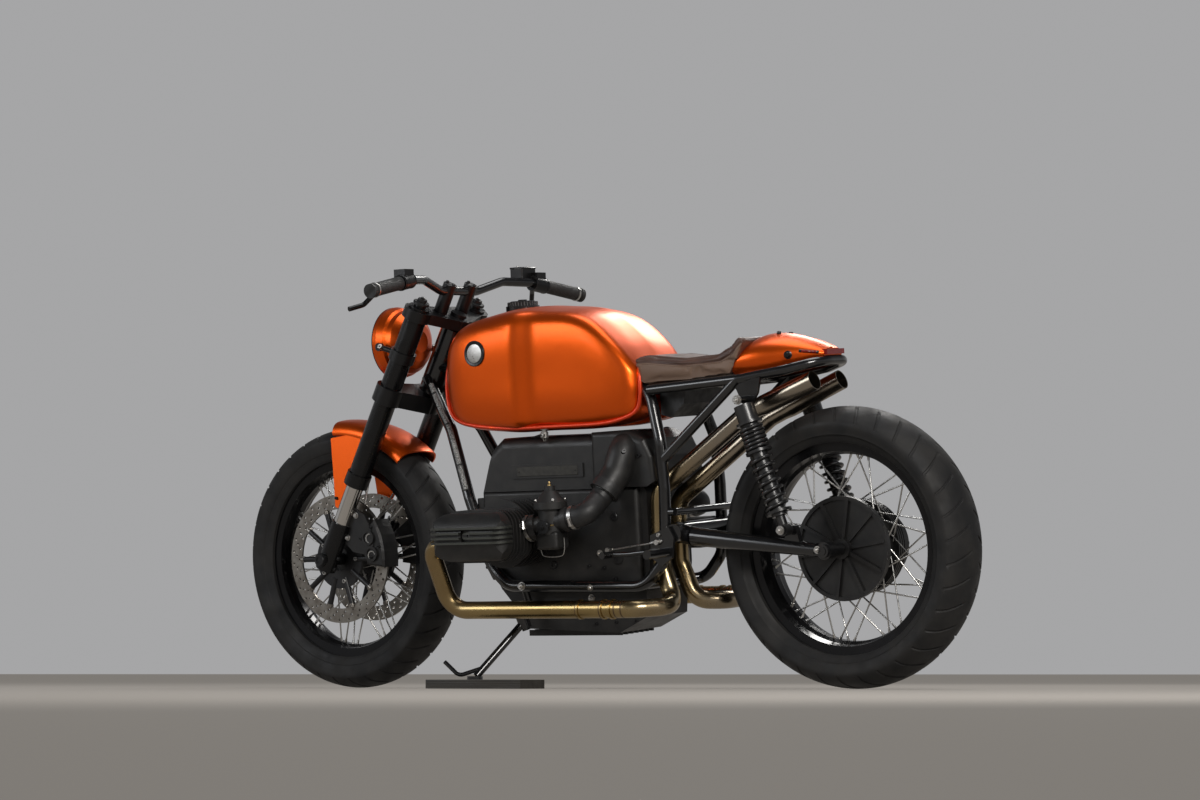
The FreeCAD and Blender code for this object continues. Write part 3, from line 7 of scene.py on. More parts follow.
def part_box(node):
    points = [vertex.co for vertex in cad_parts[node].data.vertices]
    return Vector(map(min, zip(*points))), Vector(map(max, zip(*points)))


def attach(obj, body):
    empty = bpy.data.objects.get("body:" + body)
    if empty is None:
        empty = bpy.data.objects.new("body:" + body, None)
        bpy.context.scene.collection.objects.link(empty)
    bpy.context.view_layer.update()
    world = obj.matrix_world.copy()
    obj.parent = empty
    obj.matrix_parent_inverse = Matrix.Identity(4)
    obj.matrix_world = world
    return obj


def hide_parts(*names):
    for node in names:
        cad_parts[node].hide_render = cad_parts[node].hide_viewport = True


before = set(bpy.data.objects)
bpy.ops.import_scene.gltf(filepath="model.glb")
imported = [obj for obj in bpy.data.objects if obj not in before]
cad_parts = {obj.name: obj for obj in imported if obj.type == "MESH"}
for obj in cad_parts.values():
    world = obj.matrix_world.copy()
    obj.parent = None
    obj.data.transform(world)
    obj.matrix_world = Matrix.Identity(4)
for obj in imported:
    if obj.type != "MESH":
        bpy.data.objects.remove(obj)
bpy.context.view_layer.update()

# Camera
# A long lens just above the floor, off the machine's left rear, as the photograph was taken.
# It stands 9.6 m away, so that near and far parts keep their true proportions.
lens_place = (-5.488268, 7.863628, 0.037495)
heading = math.radians(-55.34)
upward = math.radians(3.90)
line_of_sight = Vector((math.cos(heading) * math.cos(upward), math.sin(heading) * math.cos(upward),
                        math.sin(upward)))
camera = bpy.data.objects.new("camera", bpy.data.cameras.new("camera"))
bpy.context.scene.collection.objects.link(camera)
camera.location = lens_place
camera.rotation_euler = line_of_sight.to_track_quat("-Z", "Y").to_euler()
camera.data.sensor_width = 36.0
camera.data.lens = 120.0
camera.data.clip_end = 200.0
bpy.context.scene.camera = camera

# Studio
# A pale matt floor under a pale backdrop that darkens overhead like a hall's ceiling.
# Four soft boxes light the machine: behind its left side, ahead of it, above it and beyond it.
bpy.context.scene.view_settings.view_transform = "Standard"


def rays_seen(tree, kinds):
    """One for the named kinds of ray, which look at the studio, and nought for all others."""
    path = tree.nodes.new("ShaderNodeLightPath")
    seen = path.outputs[kinds[0]]
    for kind in kinds[1:]:
        either = tree.nodes.new("ShaderNodeMath")
        either.operation = "MAXIMUM"
        tree.links.new(seen, either.inputs[0])
        tree.links.new(path.outputs[kind], either.inputs[1])
        seen = either.outputs[0]
    return seen


studio = bpy.data.worlds.new("studio")
bpy.context.scene.world = studio
studio.use_nodes = True
sky = studio.node_tree
sky.nodes.clear()
direction = sky.nodes.new("ShaderNodeTexCoord")
height = sky.nodes.new("ShaderNodeSeparateXYZ")
fade = sky.nodes.new("ShaderNodeValToRGB")
fade_starts, fade_ends = fade.color_ramp.elements
fade_starts.position = 0.20
fade_starts.color = (0.38, 0.38, 0.385, 1)
fade_ends.position = 0.60
fade_ends.color = (0.055, 0.055, 0.06, 1)
backdrop = sky.nodes.new("ShaderNodeBackground")
dim_hall = sky.nodes.new("ShaderNodeBackground")
dim_hall.inputs["Color"].default_value = (0.42, 0.43, 0.45, 1)
dim_hall.inputs["Strength"].default_value = 0.30
choice = sky.nodes.new("ShaderNodeMixShader")
world_end = sky.nodes.new("ShaderNodeOutputWorld")
sky.links.new(direction.outputs["Generated"], height.inputs[0])
sky.links.new(height.outputs["Z"], fade.inputs["Fac"])
sky.links.new(fade.outputs["Color"], backdrop.inputs["Color"])
sky.links.new(rays_seen(sky, ("Is Camera Ray", "Is Glossy Ray", "Is Transmission Ray")), choice.inputs[0])
sky.links.new(dim_hall.outputs[0], choice.inputs[1])
sky.links.new(backdrop.outputs[0], choice.inputs[2])
sky.links.new(choice.outputs[0], world_end.inputs["Surface"])

floor_reach = 70.0
floor_drop = 0.0004
floor_mesh = bpy.data.meshes.new("floor")
floor_mesh.from_pydata([(-floor_reach, -floor_reach, 0), (floor_reach, -floor_reach, 0),
                        (floor_reach, floor_reach, 0), (-floor_reach, floor_reach, 0)], [], [(0, 1, 2, 3)])
floor = bpy.data.objects.new("floor", floor_mesh)
bpy.context.scene.collection.objects.link(floor)
floor.location.z = -floor_drop
concrete = bpy.data.materials.new("pale_floor")
concrete.use_nodes = True
ground = concrete.node_tree
matt = ground.nodes["Principled BSDF"]
matt.inputs["Base Color"].default_value = (0.38, 0.355, 0.33, 1)
matt.inputs["Roughness"].default_value = 0.92
matt.inputs["Specular IOR Level"].default_value = 0.12
even_tone = ground.nodes.new("ShaderNodeEmission")
even_tone.inputs["Color"].default_value = (0.33, 0.305, 0.275, 1)
even_share = ground.nodes.new("ShaderNodeMath")
even_share.operation = "MULTIPLY"
even_share.inputs[1].default_value = 0.55
blend = ground.nodes.new("ShaderNodeMixShader")
ground.links.new(rays_seen(ground, ("Is Camera Ray", "Is Glossy Ray")), even_share.inputs[0])
ground.links.new(even_share.outputs[0], blend.inputs[0])
ground.links.new(matt.outputs[0], blend.inputs[1])
ground.links.new(even_tone.outputs[0], blend.inputs[2])
ground.links.new(blend.outputs[0], ground.nodes["Material Output"].inputs["Surface"])
floor_mesh.materials.append(concrete)


def soft_box(name, place, aim_at, width, depth, watts, tint):
    """Rectangular soft box that faces a point on the machine."""
    lamp = bpy.data.lights.new(name, "AREA")
    lamp.shape = "RECTANGLE"
    lamp.size = width
    lamp.size_y = depth
    lamp.energy = watts
    lamp.color = tint
    box = bpy.data.objects.new(name, lamp)
    bpy.context.scene.collection.objects.link(box)
    box.location = place
    box.rotation_euler = (Vector(aim_at) - Vector(place)).to_track_quat("-Z", "Y").to_euler()


soft_box("rear_left_box", (-3.4, 2.6, 2.4), (0.0, 0.0, 0.6), 1.6, 1.0, 130, (1.0, 0.97, 0.93))
soft_box("front_left_box", (2.6, 3.6, 1.9), (0.2, 0.0, 0.5), 2.0, 1.6, 48, (0.93, 0.96, 1.0))
soft_box("ceiling_box", (-0.2, -0.4, 4.0), (0.0, 0.0, 0.5), 3.0, 1.6, 48, (1.0, 1.0, 1.0))
soft_box("far_side_box", (0.5, -2.9, 3.0), (0.0, 0.0, 0.7), 1.3, 0.8, 46, (1.0, 0.98, 0.95))

# Tyres
# Road tyres of black rubber, moulded in two halves, with slanted rain grooves cut from each
# shoulder towards a closed centre band. Each one snaps over the rim's two bead seats.
rear_axle_height = 0.3265
front_axle_place = Vector((1.450, 0, 0.325775))
axle_ahead_of_stem = 0.040
rake = math.radians(28.0)
lean = math.radians(-5.36)
bars_turned = math.radians(-3.77)
fork_up = Vector((-math.sin(rake), 0, math.cos(rake)))
fork_ahead = Vector((math.cos(rake), 0, math.sin(rake)))
stem_foot = front_axle_place - fork_ahead * axle_ahead_of_stem
rear_middle = (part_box("rear_rim")[0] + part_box("rear_rim")[1]) / 2

# Places are given on the upright bike: ahead of the rear axle, to its left, and up from the ground.
# parked leans the bike on its stand, and steered turns the bars and the front wheel as well.
parked = (Matrix.Translation(rear_middle) @ Matrix.Rotation(lean, 4, "X")
          @ Matrix.Translation((0, 0, -rear_axle_height)))
steered = (parked @ Matrix.Translation(stem_foot)
           @ Matrix.Rotation(bars_turned, 4, fork_up) @ Matrix.Translation(-stem_foot))
rear_wheel_place = parked @ Matrix.Translation((0, 0, rear_axle_height))
front_wheel_place = steered @ Matrix.Translation(front_axle_place)


def shader_of(material):
    """The material's own shader."""
    return material.node_tree.nodes["Principled BSDF"]


def finish(name, colour, metallic, roughness):
    """Material with its colour, metal and roughness set on the shader itself."""
    material = bpy.data.materials.new(name)
    material.use_nodes = True
    shader = shader_of(material)
    shader.inputs["Base Color"].default_value = (*colour, 1)
    shader.inputs["Metallic"].default_value = metallic
    shader.inputs["Roughness"].default_value = roughness
    return material


def surface_noise(material, scale, detail=4.0, stretch=(1, 1, 1)):
    """Noise measured in metres over the piece, stretched along its axes."""
    nodes, links = material.node_tree.nodes, material.node_tree.links
    coords = nodes.new("ShaderNodeTexCoord")
    mapping = nodes.new("ShaderNodeMapping")
    mapping.inputs["Scale"].default_value = stretch
    noise = nodes.new("ShaderNodeTexNoise")
    noise.inputs["Scale"].default_value = scale
    noise.inputs["Detail"].default_value = detail
    links.new(coords.outputs["Object"], mapping.inputs["Vector"])
    links.new(mapping.outputs["Vector"], noise.inputs["Vector"])
    return noise.outputs["Fac"]


def emboss(material, relief, strength, depth):
    """Bump of the given depth in metres from a relief value, over any bump that is there."""
    nodes, links = material.node_tree.nodes, material.node_tree.links
    shader = shader_of(material)
    bump = nodes.new("ShaderNodeBump")
    bump.inputs["Strength"].default_value = strength
    bump.inputs["Distance"].default_value = depth
    links.new(relief, bump.inputs["Height"])
    if shader.inputs["Normal"].is_linked:
        links.new(shader.inputs["Normal"].links[0].from_socket, bump.inputs["Normal"])
    links.new(bump.outputs["Normal"], shader.inputs["Normal"])


def roughen(material, scale, strength, depth, stretch=(1, 1, 1)):
    """Fine grain over the whole surface."""
    emboss(material, surface_noise(material, scale, stretch=stretch), strength, depth)


def mottle(material, other, scale, low=0.35, high=0.65, stretch=(1, 1, 1)):
    """Drift from the base colour to another over the surface."""
    nodes, links = material.node_tree.nodes, material.node_tree.links
    shader = shader_of(material)
    ramp = nodes.new("ShaderNodeValToRGB")
    ramp.color_ramp.elements[0].position = low
    ramp.color_ramp.elements[0].color = shader.inputs["Base Color"].default_value
    ramp.color_ramp.elements[1].position = high
    ramp.color_ramp.elements[1].color = (*other, 1)
    links.new(surface_noise(material, scale, stretch=stretch), ramp.inputs["Fac"])
    links.new(ramp.outputs["Color"], shader.inputs["Base Color"])


def polish_varies(material, low, high, scale, stretch=(1, 1, 1)):
    """Roughness that drifts between two values."""
    nodes, links = material.node_tree.nodes, material.node_tree.links
    spread = nodes.new("ShaderNodeMapRange")
    spread.inputs["From Min"].default_value = 0.3
    spread.inputs["From Max"].default_value = 0.7
    spread.inputs["To Min"].default_value = low
    spread.inputs["To Max"].default_value = high
    links.new(surface_noise(material, scale, stretch=stretch), spread.inputs["Value"])
    links.new(spread.outputs["Result"], shader_of(material).inputs["Roughness"])


def dress(material, *nodes):
    """Give a CAD node its finish."""
    for node in nodes:
        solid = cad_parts[node]
        for place in solid.material_slots:
            place.material = material


def piece(name, points, faces, place, body, material, sharp=35.0):
    """Mesh piece set in place, finished and fixed to its body."""
    mesh = bpy.data.meshes.new(name)
    mesh.from_pydata([tuple(point) for point in points], [], faces)
    mesh.validate()
    mesh.transform(place)
    mesh.materials.append(material)
    mesh.shade_smooth()
    mesh.set_sharp_from_angle(angle=math.radians(sharp))
    made = bpy.data.objects.new(name, mesh)
    bpy.context.scene.collection.objects.link(made)
    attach(made, body)
    return made


rubber = finish("tyre_rubber", (0.010, 0.010, 0.0105), 0.0, 0.66)
mottle(rubber, (0.019, 0.018, 0.017), 16.0)
polish_varies(rubber, 0.50, 0.78, 22.0)
roughen(rubber, 900.0, 0.35, 0.0006)
shader_of(rubber).inputs["Specular IOR Level"].default_value = 0.3

bead_radius = 0.2453
bead_seat_radius = 0.2293
groove_depth = 0.0032
groove_lead = 0.13
groove_starts, groove_ends = 0.16, 0.985
groove_pitch = (0.0, 0.035, 0.105, 0.14, 0.32, 0.50, 0.535, 0.605, 0.64, 0.82)
left_groove, right_groove = (1, 2), (6, 7)
wall_rings = ((0.2620, 0.2645), (0.2735, 0.2752))
wall_ring_rise = 0.0007


def smooth_through(points, steps):
    """Points on a smooth curve through the given ones."""
    ends = [points[0] * 2 - points[1]] + points + [points[-1] * 2 - points[-2]]
    curve = []
    for a, b, c, d in zip(ends, ends[1:], ends[2:], ends[3:]):
        for step in range(steps):
            t = step / steps
            curve.append(0.5 * (2 * b + (c - a) * t + (2 * a - 5 * b + 4 * c - d) * t * t
                                + (3 * b - a - 3 * c + d) * t * t * t))
    return curve + [points[-1]]


def tyre(name, radius, width, rim_width, pitches, place, body, node):
    """Treaded tyre from bead to bead, its grooves leaning back from the centre."""
    half = width / 2
    shoulder = radius - width * 0.26
    wall_middle = (bead_radius + shoulder) / 2
    wall = [Vector((half * share, r, 0)) for share, r in (
        (0.74, bead_radius), (0.80, bead_radius + 0.006), (0.87, wall_middle - 0.006), (0.93, wall_middle),
        (1.0, shoulder))]
    crown = [Vector((half * share, radius - drop * width, 0)) for share, drop in (
        (0.90, 0.172), (0.72, 0.100), (0.45, 0.040), (0.20, 0.009), (0.0, 0.0))]
    quarter = smooth_through(wall + crown, 4)
    section = quarter[:-1] + [Vector((-p.x, p.y, 0)) for p in reversed(quarter)]
    heel = rim_width / 2 - 0.0063
    inner = [Vector((-heel, bead_radius, 0)), Vector((0.003 - heel, bead_seat_radius, 0)),
             Vector((heel - 0.003, bead_seat_radius, 0)), Vector((heel, bead_radius, 0))]
    loop = section + inner
    columns = [(turn + part) / pitches for turn in range(pitches) for part in groove_pitch]
    points = []
    for number, column in enumerate(columns):
        phase = number % len(groove_pitch)
        for index, p in enumerate(loop):
            outside = index < len(section)
            share = abs(p.x) / half
            on_tread = outside and p.y > shoulder - 0.002 and groove_starts < share < groove_ends
            deep = 0.0
            if on_tread and phase in (left_groove if p.x > 0 else right_groove):
                deep = groove_depth * min(1.0, (share - groove_starts) * 9)
            raised = outside and any(low < p.y < high for low, high in wall_rings)
            turn = 2 * math.pi * column + (groove_lead * share if outside else 0.0)
            r = p.y - deep
            y = p.x + (math.copysign(wall_ring_rise, p.x) if raised else 0.0)
            points.append((r * math.cos(turn), y, r * math.sin(turn)))
    count = len(loop)
    faces = []
    for column in range(len(columns)):
        this, after = column * count, (column + 1) % len(columns) * count
        for index in range(count):
            beside = (index + 1) % count
            faces.append((this + index, after + index, after + beside, this + beside))
    made = piece(name, points, faces, place, body, rubber, sharp=28.0)
    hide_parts(node)
    return made


tyre("rear_treaded_tyre", radius=0.3265, width=0.150, rim_width=0.092, pitches=34,
     place=rear_wheel_place, body="rear_wheel", node="rear_tyre")
tyre("front_treaded_tyre", radius=0.3255, width=0.120, rim_width=0.072, pitches=36,
     place=front_wheel_place, body="front_wheel", node="front_tyre")

# Rims and valves
# Rolled alloy rims with a drop centre, anodised deep black and left glossy, so that the inner
# well shows bright streaks. One valve stem with a steel cap stands in each well.
black_rim = finish("black_rim", (0.010, 0.010, 0.011), 0.6, 0.2)
polish_varies(black_rim, 0.14, 0.26, 18.0)
roughen(black_rim, 240.0, 0.08, 0.0002)
dress(black_rim, "front_rim", "rear_rim")

spoke_steel = finish("spoke_steel", (0.55, 0.54, 0.52), 1.0, 0.3)
polish_varies(spoke_steel, 0.22, 0.42, 60.0)
roughen(spoke_steel, 900.0, 0.1, 0.0001)

surfaces = {}


def surface_of(made):
    """Search tree over a piece's faces, built once."""
    if made.name not in surfaces:
        mesh = made.data
        corners = [vertex.co for vertex in mesh.vertices]
        surfaces[made.name] = BVHTree.FromPolygons(corners, [face.vertices for face in mesh.polygons])
    return surfaces[made.name]


def touch(node, start, toward, place):
    """Point and outward direction where a straight line first meets a CAD node."""
    begin = place @ Vector(start)
    aim = (place.to_3x3() @ Vector(toward)).normalized()
    spot, outward, _, _ = surface_of(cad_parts[node]).ray_cast(begin, aim)
    if spot is None:
        raise ValueError(node + " is not met from " + str(start))
    return spot, outward


def stacked(points, faces, spot, axis, profile, sides=12, ring=False):
    """Rings about an axis, each a radius and a height, a third value making it six-sided."""
    axis = axis.normalized()
    across = axis.orthogonal().normalized()
    other = axis.cross(across)
    base = len(points)
    for radius, rise, *flats in profile:
        for side in range(sides):
            turn = 2 * math.pi * side / sides
            length = radius
            if flats:
                length = radius * math.cos(math.pi / 6) / math.cos(turn % (math.pi / 3) - math.pi / 6)
            points.append(spot + axis * rise + across * (math.cos(turn) * length)
                          + other * (math.sin(turn) * length))
    rings = len(profile)
    for number in range(rings if ring else rings - 1):
        low = base + number * sides
        high = base + (number + 1) % rings * sides
        for side in range(sides):
            after = (side + 1) % sides
            faces.append((low + side, low + after, high + after, high + side))
    if not ring:
        faces.append(tuple(base + side for side in reversed(range(sides))))
        faces.append(tuple(base + (rings - 1) * sides + side for side in range(sides)))


valve_turn = math.radians(205)
valve_stem = [(0.0045, -0.001), (0.0045, 0.004), (0.0030, 0.006), (0.0030, 0.024), (0.0037, 0.024),
              (0.0037, 0.033), (0.0020, 0.035)]


def valve(name, node, place, body):
    """Valve stem that stands on the inside of the rim's well."""
    outward = Vector((math.cos(valve_turn), 0, math.sin(valve_turn)))
    seat, _ = touch(node, outward * 0.16, outward, place)
    points, faces = [], []
    stacked(points, faces, seat, -(place.to_3x3() @ outward), valve_stem)
    return piece(name, points, faces, Matrix(), body, spoke_steel)


valve("rear_valve", "rear_rim", rear_wheel_place, "rear_wheel")
valve("front_valve", "front_rim", front_wheel_place, "front_wheel")

# Spokes and nipples
# Stainless spokes laced over the hub flanges, each pulled tight by a nickel-plated nipple in the
# rim's well.
dress(spoke_steel, "front_spokes", "rear_spokes")


def tapered_peg(points, faces, start, end, start_radius, end_radius, sides=8):
    """Short round peg between two points, added to a mesh's lists."""
    length = (end - start).length
    stacked(points, faces, start, end - start, [(start_radius, 0.0), (end_radius, length)], sides)


spokes_in_a_wheel = 40
spokes_crossed = 2.4
flange_step = 0.008
nipple_length = 0.012
nipple_radius = 0.0034
nipple_circle = 0.2185
nipple_side = 0.003


def nipples(name, flange_radius, flange_y, place, body):
    """Nipples on the rim's ends of all the spokes of one wheel."""
    points, faces = [], []
    per_side = spokes_in_a_wheel // 2
    for index in range(spokes_in_a_wheel):
        side = 1 if index % 2 else -1
        spot = index // 2
        lead = 1 if spot % 2 else -1
        hub_turn = 2 * math.pi * (spot + 0.25 * side) / per_side
        rim_turn = hub_turn + lead * 2 * math.pi * spokes_crossed / per_side
        hub_side = side * (flange_y - (flange_step if lead > 0 else 0))
        head = Vector((math.cos(hub_turn) * flange_radius, hub_side, math.sin(hub_turn) * flange_radius))
        end = Vector((math.cos(rim_turn) * nipple_circle, side * nipple_side,
                      math.sin(rim_turn) * nipple_circle))
        back = (head - end).normalized()
        tapered_peg(points, faces, end + back * 0.001, end + back * nipple_length,
                    nipple_radius, nipple_radius * 0.8)
    return piece(name, points, faces, place, body, spoke_steel)


nipples("rear_nipples", 0.094, 0.026, rear_wheel_place, "rear_wheel")
nipples("front_nipples", 0.042, 0.038, front_wheel_place, "front_wheel")

# Hubs and final drive
# Sand-cast alloy, painted in a soft black that keeps the casting's grain. A ring of screws holds
# the bevel drive's cover on the right.
cast_black = finish("cast_black", (0.009, 0.009, 0.0095), 0.25, 0.45)
mottle(cast_black, (0.015, 0.0145, 0.014), 35.0)
polish_varies(cast_black, 0.30, 0.48, 28.0)
roughen(cast_black, 650.0, 0.3, 0.0007)
dress(cast_black, "rear_hub", "front_hub", "final_drive")
screw_steel = finish("screw_steel", (0.50, 0.49, 0.47), 1.0, 0.32)
polish_varies(screw_steel, 0.24, 0.44, 300.0)
roughen(screw_steel, 2200.0, 0.12, 0.0001)
black_screw = finish("black_screw", (0.020, 0.020, 0.021), 0.5, 0.34)
polish_varies(black_screw, 0.28, 0.46, 300.0)
roughen(black_screw, 2200.0, 0.12, 0.0001)


def socket_head(radius):
    """Rings of a socket-head screw with a chamfered edge and a six-sided socket."""
    top = radius * 1.05
    return [(radius, -0.0012), (radius, radius * 0.85), (radius * 0.86, top), (radius * 0.60, top),
            (radius * 0.55, top, 6), (radius * 0.55, radius * 0.4, 6)]


def washer_nut(radius):
    """Rings of a plain nut on a washer with its stud's end."""
    washer = radius * 1.3
    washer_top = radius * 0.16
    return [(washer, -0.0012), (washer, washer_top), (radius, washer_top, 6), (radius, radius * 0.86, 6),
            (radius * 0.82, radius * 1.0), (radius * 0.52, radius * 1.0), (radius * 0.52, radius * 1.3),
            (radius * 0.40, radius * 1.4)]


def fasteners(name, head, spots, place, body, material):
    """Screws or nuts seated on CAD faces; each spot is a node, a start, a way in and a radius."""
    points, faces = [], []
    for node, start, toward, radius in spots:
        seat, outward = touch(node, start, toward, place)
        stacked(points, faces, seat, outward, head(radius))
    return piece(name, points, faces, Matrix(), body, material)


drive_screw_circle = 0.066
cover_screws = []
for number in range(8):
    turn = math.radians(45 * number + 22.5)
    ahead = drive_screw_circle * math.cos(turn)
    up = rear_axle_height + drive_screw_circle * math.sin(turn)
    cover_screws.append(("final_drive", (ahead, -0.30, up), (0, 1, 0), 0.0042))
fasteners("final_drive_screws", socket_head, cover_screws, parked, "frame", screw_steel)

# Brake discs
# Stainless rings, turned and drilled, each floating on ten bobbins round a black alloy carrier
# with five screws. Colour and shine change with the distance from the axle.
disc_steel = finish("disc_steel", (0.29, 0.275, 0.25), 1.0, 0.34)
mottle(disc_steel, (0.20, 0.182, 0.160), 40.0)
polish_varies(disc_steel, 0.28, 0.46, 120.0)


def from_line(material, origin, axis):
    """Distance of each point of a surface from a straight line, in metres."""
    nodes, links = material.node_tree.nodes, material.node_tree.links
    coords = nodes.new("ShaderNodeTexCoord")
    offset = nodes.new("ShaderNodeVectorMath")
    offset.operation = "SUBTRACT"
    offset.inputs[1].default_value = origin
    cross = nodes.new("ShaderNodeVectorMath")
    cross.operation = "CROSS_PRODUCT"
    cross.inputs[1].default_value = axis.normalized()
    size = nodes.new("ShaderNodeVectorMath")
    size.operation = "LENGTH"
    links.new(coords.outputs["Object"], offset.inputs[0])
    links.new(offset.outputs[0], cross.inputs[0])
    links.new(cross.outputs[0], size.inputs[0])
    return size.outputs["Value"]


def along_line(material, origin, axis):
    """Distance of each point of a surface along a straight line, in metres."""
    nodes, links = material.node_tree.nodes, material.node_tree.links
    coords = nodes.new("ShaderNodeTexCoord")
    offset = nodes.new("ShaderNodeVectorMath")
    offset.operation = "SUBTRACT"
    offset.inputs[1].default_value = origin
    dot = nodes.new("ShaderNodeVectorMath")
    dot.operation = "DOT_PRODUCT"
    dot.inputs[1].default_value = axis.normalized()
    links.new(coords.outputs["Object"], offset.inputs[0])
    links.new(offset.outputs[0], dot.inputs[0])
    return dot.outputs["Value"]


def between(material, value, low, high, soft=0.0004):
    """One where the value lies between two others, and nought elsewhere."""
    nodes, links = material.node_tree.nodes, material.node_tree.links
    product = nodes.new("ShaderNodeMath")
    product.operation = "MULTIPLY"
    for slot, (edge, sign) in enumerate(((low, 1), (high, -1))):
        step = nodes.new("ShaderNodeMapRange")
        step.inputs["From Min"].default_value = edge - soft * sign
        step.inputs["From Max"].default_value = edge + soft * sign
        links.new(value, step.inputs["Value"])
        links.new(step.outputs["Result"], product.inputs[slot])
    return product.outputs[0]


def overlay(material, mask, colour, metallic, roughness):
    """Lay another finish over the shader where the mask is one."""
    nodes, links = material.node_tree.nodes, material.node_tree.links
    shader = shader_of(material)
    for socket, kind, other in (("Base Color", "RGBA", (*colour, 1)), ("Metallic", "FLOAT", metallic),
                                ("Roughness", "FLOAT", roughness)):
        mix = nodes.new("ShaderNodeMix")
        mix.data_type = kind
        first, second = (mix.inputs[6], mix.inputs[7]) if kind == "RGBA" else (mix.inputs[2], mix.inputs[3])
        links.new(mask, mix.inputs[0])
        if shader.inputs[socket].is_linked:
            links.new(shader.inputs[socket].links[0].from_socket, first)
        else:
            first.default_value = shader.inputs[socket].default_value
        second.default_value = other
        links.new(mix.outputs[2] if kind == "RGBA" else mix.outputs[0], shader.inputs[socket])


carrier_radius = 0.1175
bobbin_circle = 0.122
bobbin_face = 0.0655
carrier_screw_circle = 0.058
carrier_face = 0.0675
lathe_marks = 1700.0

front_axle_middle = front_wheel_place @ Vector((0, 0, 0))
front_axle_line = front_wheel_place.to_3x3() @ Vector((0, 1, 0))
wheel_distance = from_line(disc_steel, front_axle_middle, front_axle_line)
turning = disc_steel.node_tree.nodes.new("ShaderNodeTexNoise")
turning.noise_dimensions = "1D"
turning.inputs["Scale"].default_value = lathe_marks
disc_steel.node_tree.links.new(wheel_distance, turning.inputs["W"])
emboss(disc_steel, turning.outputs["Fac"], 0.2, 0.0002)
carrier = between(disc_steel, wheel_distance, -1.0, carrier_radius)
overlay(disc_steel, carrier, (0.014, 0.014, 0.015), 0.3, 0.42)
dress(disc_steel, "brake_discs")

bobbin = [(0.0072, 0.0), (0.0072, 0.0018), (0.0066, 0.0024), (0.0030, 0.0024), (0.0030, 0.0004)]
points, faces = [], []
for side in (-1, 1):
    outward = Vector((0, side, 0))
    for number in range(10):
        turn = 2 * math.pi * number / 10
        centre = Vector((math.cos(turn) * bobbin_circle, side * bobbin_face, math.sin(turn) * bobbin_circle))
        stacked(points, faces, centre, outward, bobbin, 16)
    for number in range(5):
        turn = 2 * math.pi * (number + 0.5) / 5
        centre = Vector((math.cos(turn) * carrier_screw_circle, side * carrier_face,
                         math.sin(turn) * carrier_screw_circle))
        stacked(points, faces, centre, outward, socket_head(0.0055))
piece("disc_bobbins", points, faces, front_wheel_place, "front_wheel", screw_steel)

# Brake calipers
# Two black cast halves bolted over each disc, with plain steel mounting bolts in the leg's lug
# and a bright ring round each of the two piston caps.
dress(cast_black, "brake_calipers")
fork_line = (steered @ Matrix.Translation(front_axle_place)
             @ Matrix((fork_ahead, Vector((0, 1, 0)), fork_up)).transposed().to_4x4())
caliper_screws = []
lug_screws = []
for side in (-1, 1):
    inward = (0, -side, 0)
    for ahead, up in ((-0.083, 0.132), (-0.070, 0.094), (-0.128, 0.102), (-0.119, 0.068)):
        caliper_screws.append(("brake_calipers", (ahead, side * 0.25, up), inward, 0.0042))
    for ahead, up in ((-0.030, 0.076), (-0.030, 0.138)):
        lug_screws.append(("brake_calipers", (ahead, side * 0.25, up), inward, 0.0058))
fasteners("caliper_screws", socket_head, caliper_screws, fork_line, "steering", black_screw)
fasteners("caliper_lug_bolts", washer_nut, lug_screws, fork_line, "steering", screw_steel)
piston_ring = [(0.0096, -0.0006), (0.0096, 0.0012), (0.0104, 0.0018), (0.0118, 0.0018), (0.0126, 0.0010),
               (0.0126, -0.0006)]
points, faces = [], []
for side in (-1, 1):
    for ahead, up in ((-0.094, 0.107), (-0.119, 0.072)):
        seat, outward = touch("brake_calipers", (ahead, side * 0.25, up), (0, -side, 0), fork_line)
        stacked(points, faces, seat, outward, piston_ring, 32, ring=True)
piece("piston_rings", points, faces, Matrix(), "steering", screw_steel)

# Fork, yokes and front axle
# Upside-down legs: black anodised tubes above, hard-chromed sliders below them and cast black
# feet. Two machined yokes clamp them, pinched by screws; turned caps close the legs.
fork_black = finish("fork_black", (0.005, 0.005, 0.0055), 0.3, 0.32)
polish_varies(fork_black, 0.28, 0.44, 24.0)
roughen(fork_black, 700.0, 0.12, 0.0003)
leg_black = finish("leg_black", (0.004, 0.004, 0.0045), 0.3, 0.28)
polish_varies(leg_black, 0.20, 0.34, 24.0)
roughen(leg_black, 500.0, 0.10, 0.0003)
fork_foot = fork_line @ Vector((0, 0, 0))
fork_direction = fork_line.to_3x3() @ Vector((0, 0, 1))
slider_bottom = 0.1035
slider_top = 0.2065
up_the_leg = along_line(leg_black, fork_foot, fork_direction)
overlay(leg_black, between(leg_black, up_the_leg, slider_bottom, slider_top), (0.60, 0.58, 0.55), 1.0, 0.12)
dress(leg_black, "fork_left", "fork_right")
dress(fork_black, "lower_yoke", "upper_yoke", "front_axle")

leg_half_spread = 0.105
yoke_screws = []
for side, leg in ((-1, "fork_right"), (1, "fork_left")):
    across = side * leg_half_spread
    for up in (0.446, 0.468):
        yoke_screws.append(("lower_yoke", (0.2, across, up), (-1, 0, 0), 0.0055))
    yoke_screws.append(("upper_yoke", (0.2, across, 0.675), (-1, 0, 0), 0.0055))
    for up in (-0.014, 0.016):
        yoke_screws.append((leg, (-0.2, across, up), (1, 0, 0), 0.005))
    for ahead in (-0.0245, -0.0035):
        yoke_screws.append(("upper_yoke", (ahead, side * 0.040, 1.0), (0, 0, -1), 0.0042))
fasteners("yoke_screws", socket_head, yoke_screws, fork_line, "steering", black_screw)

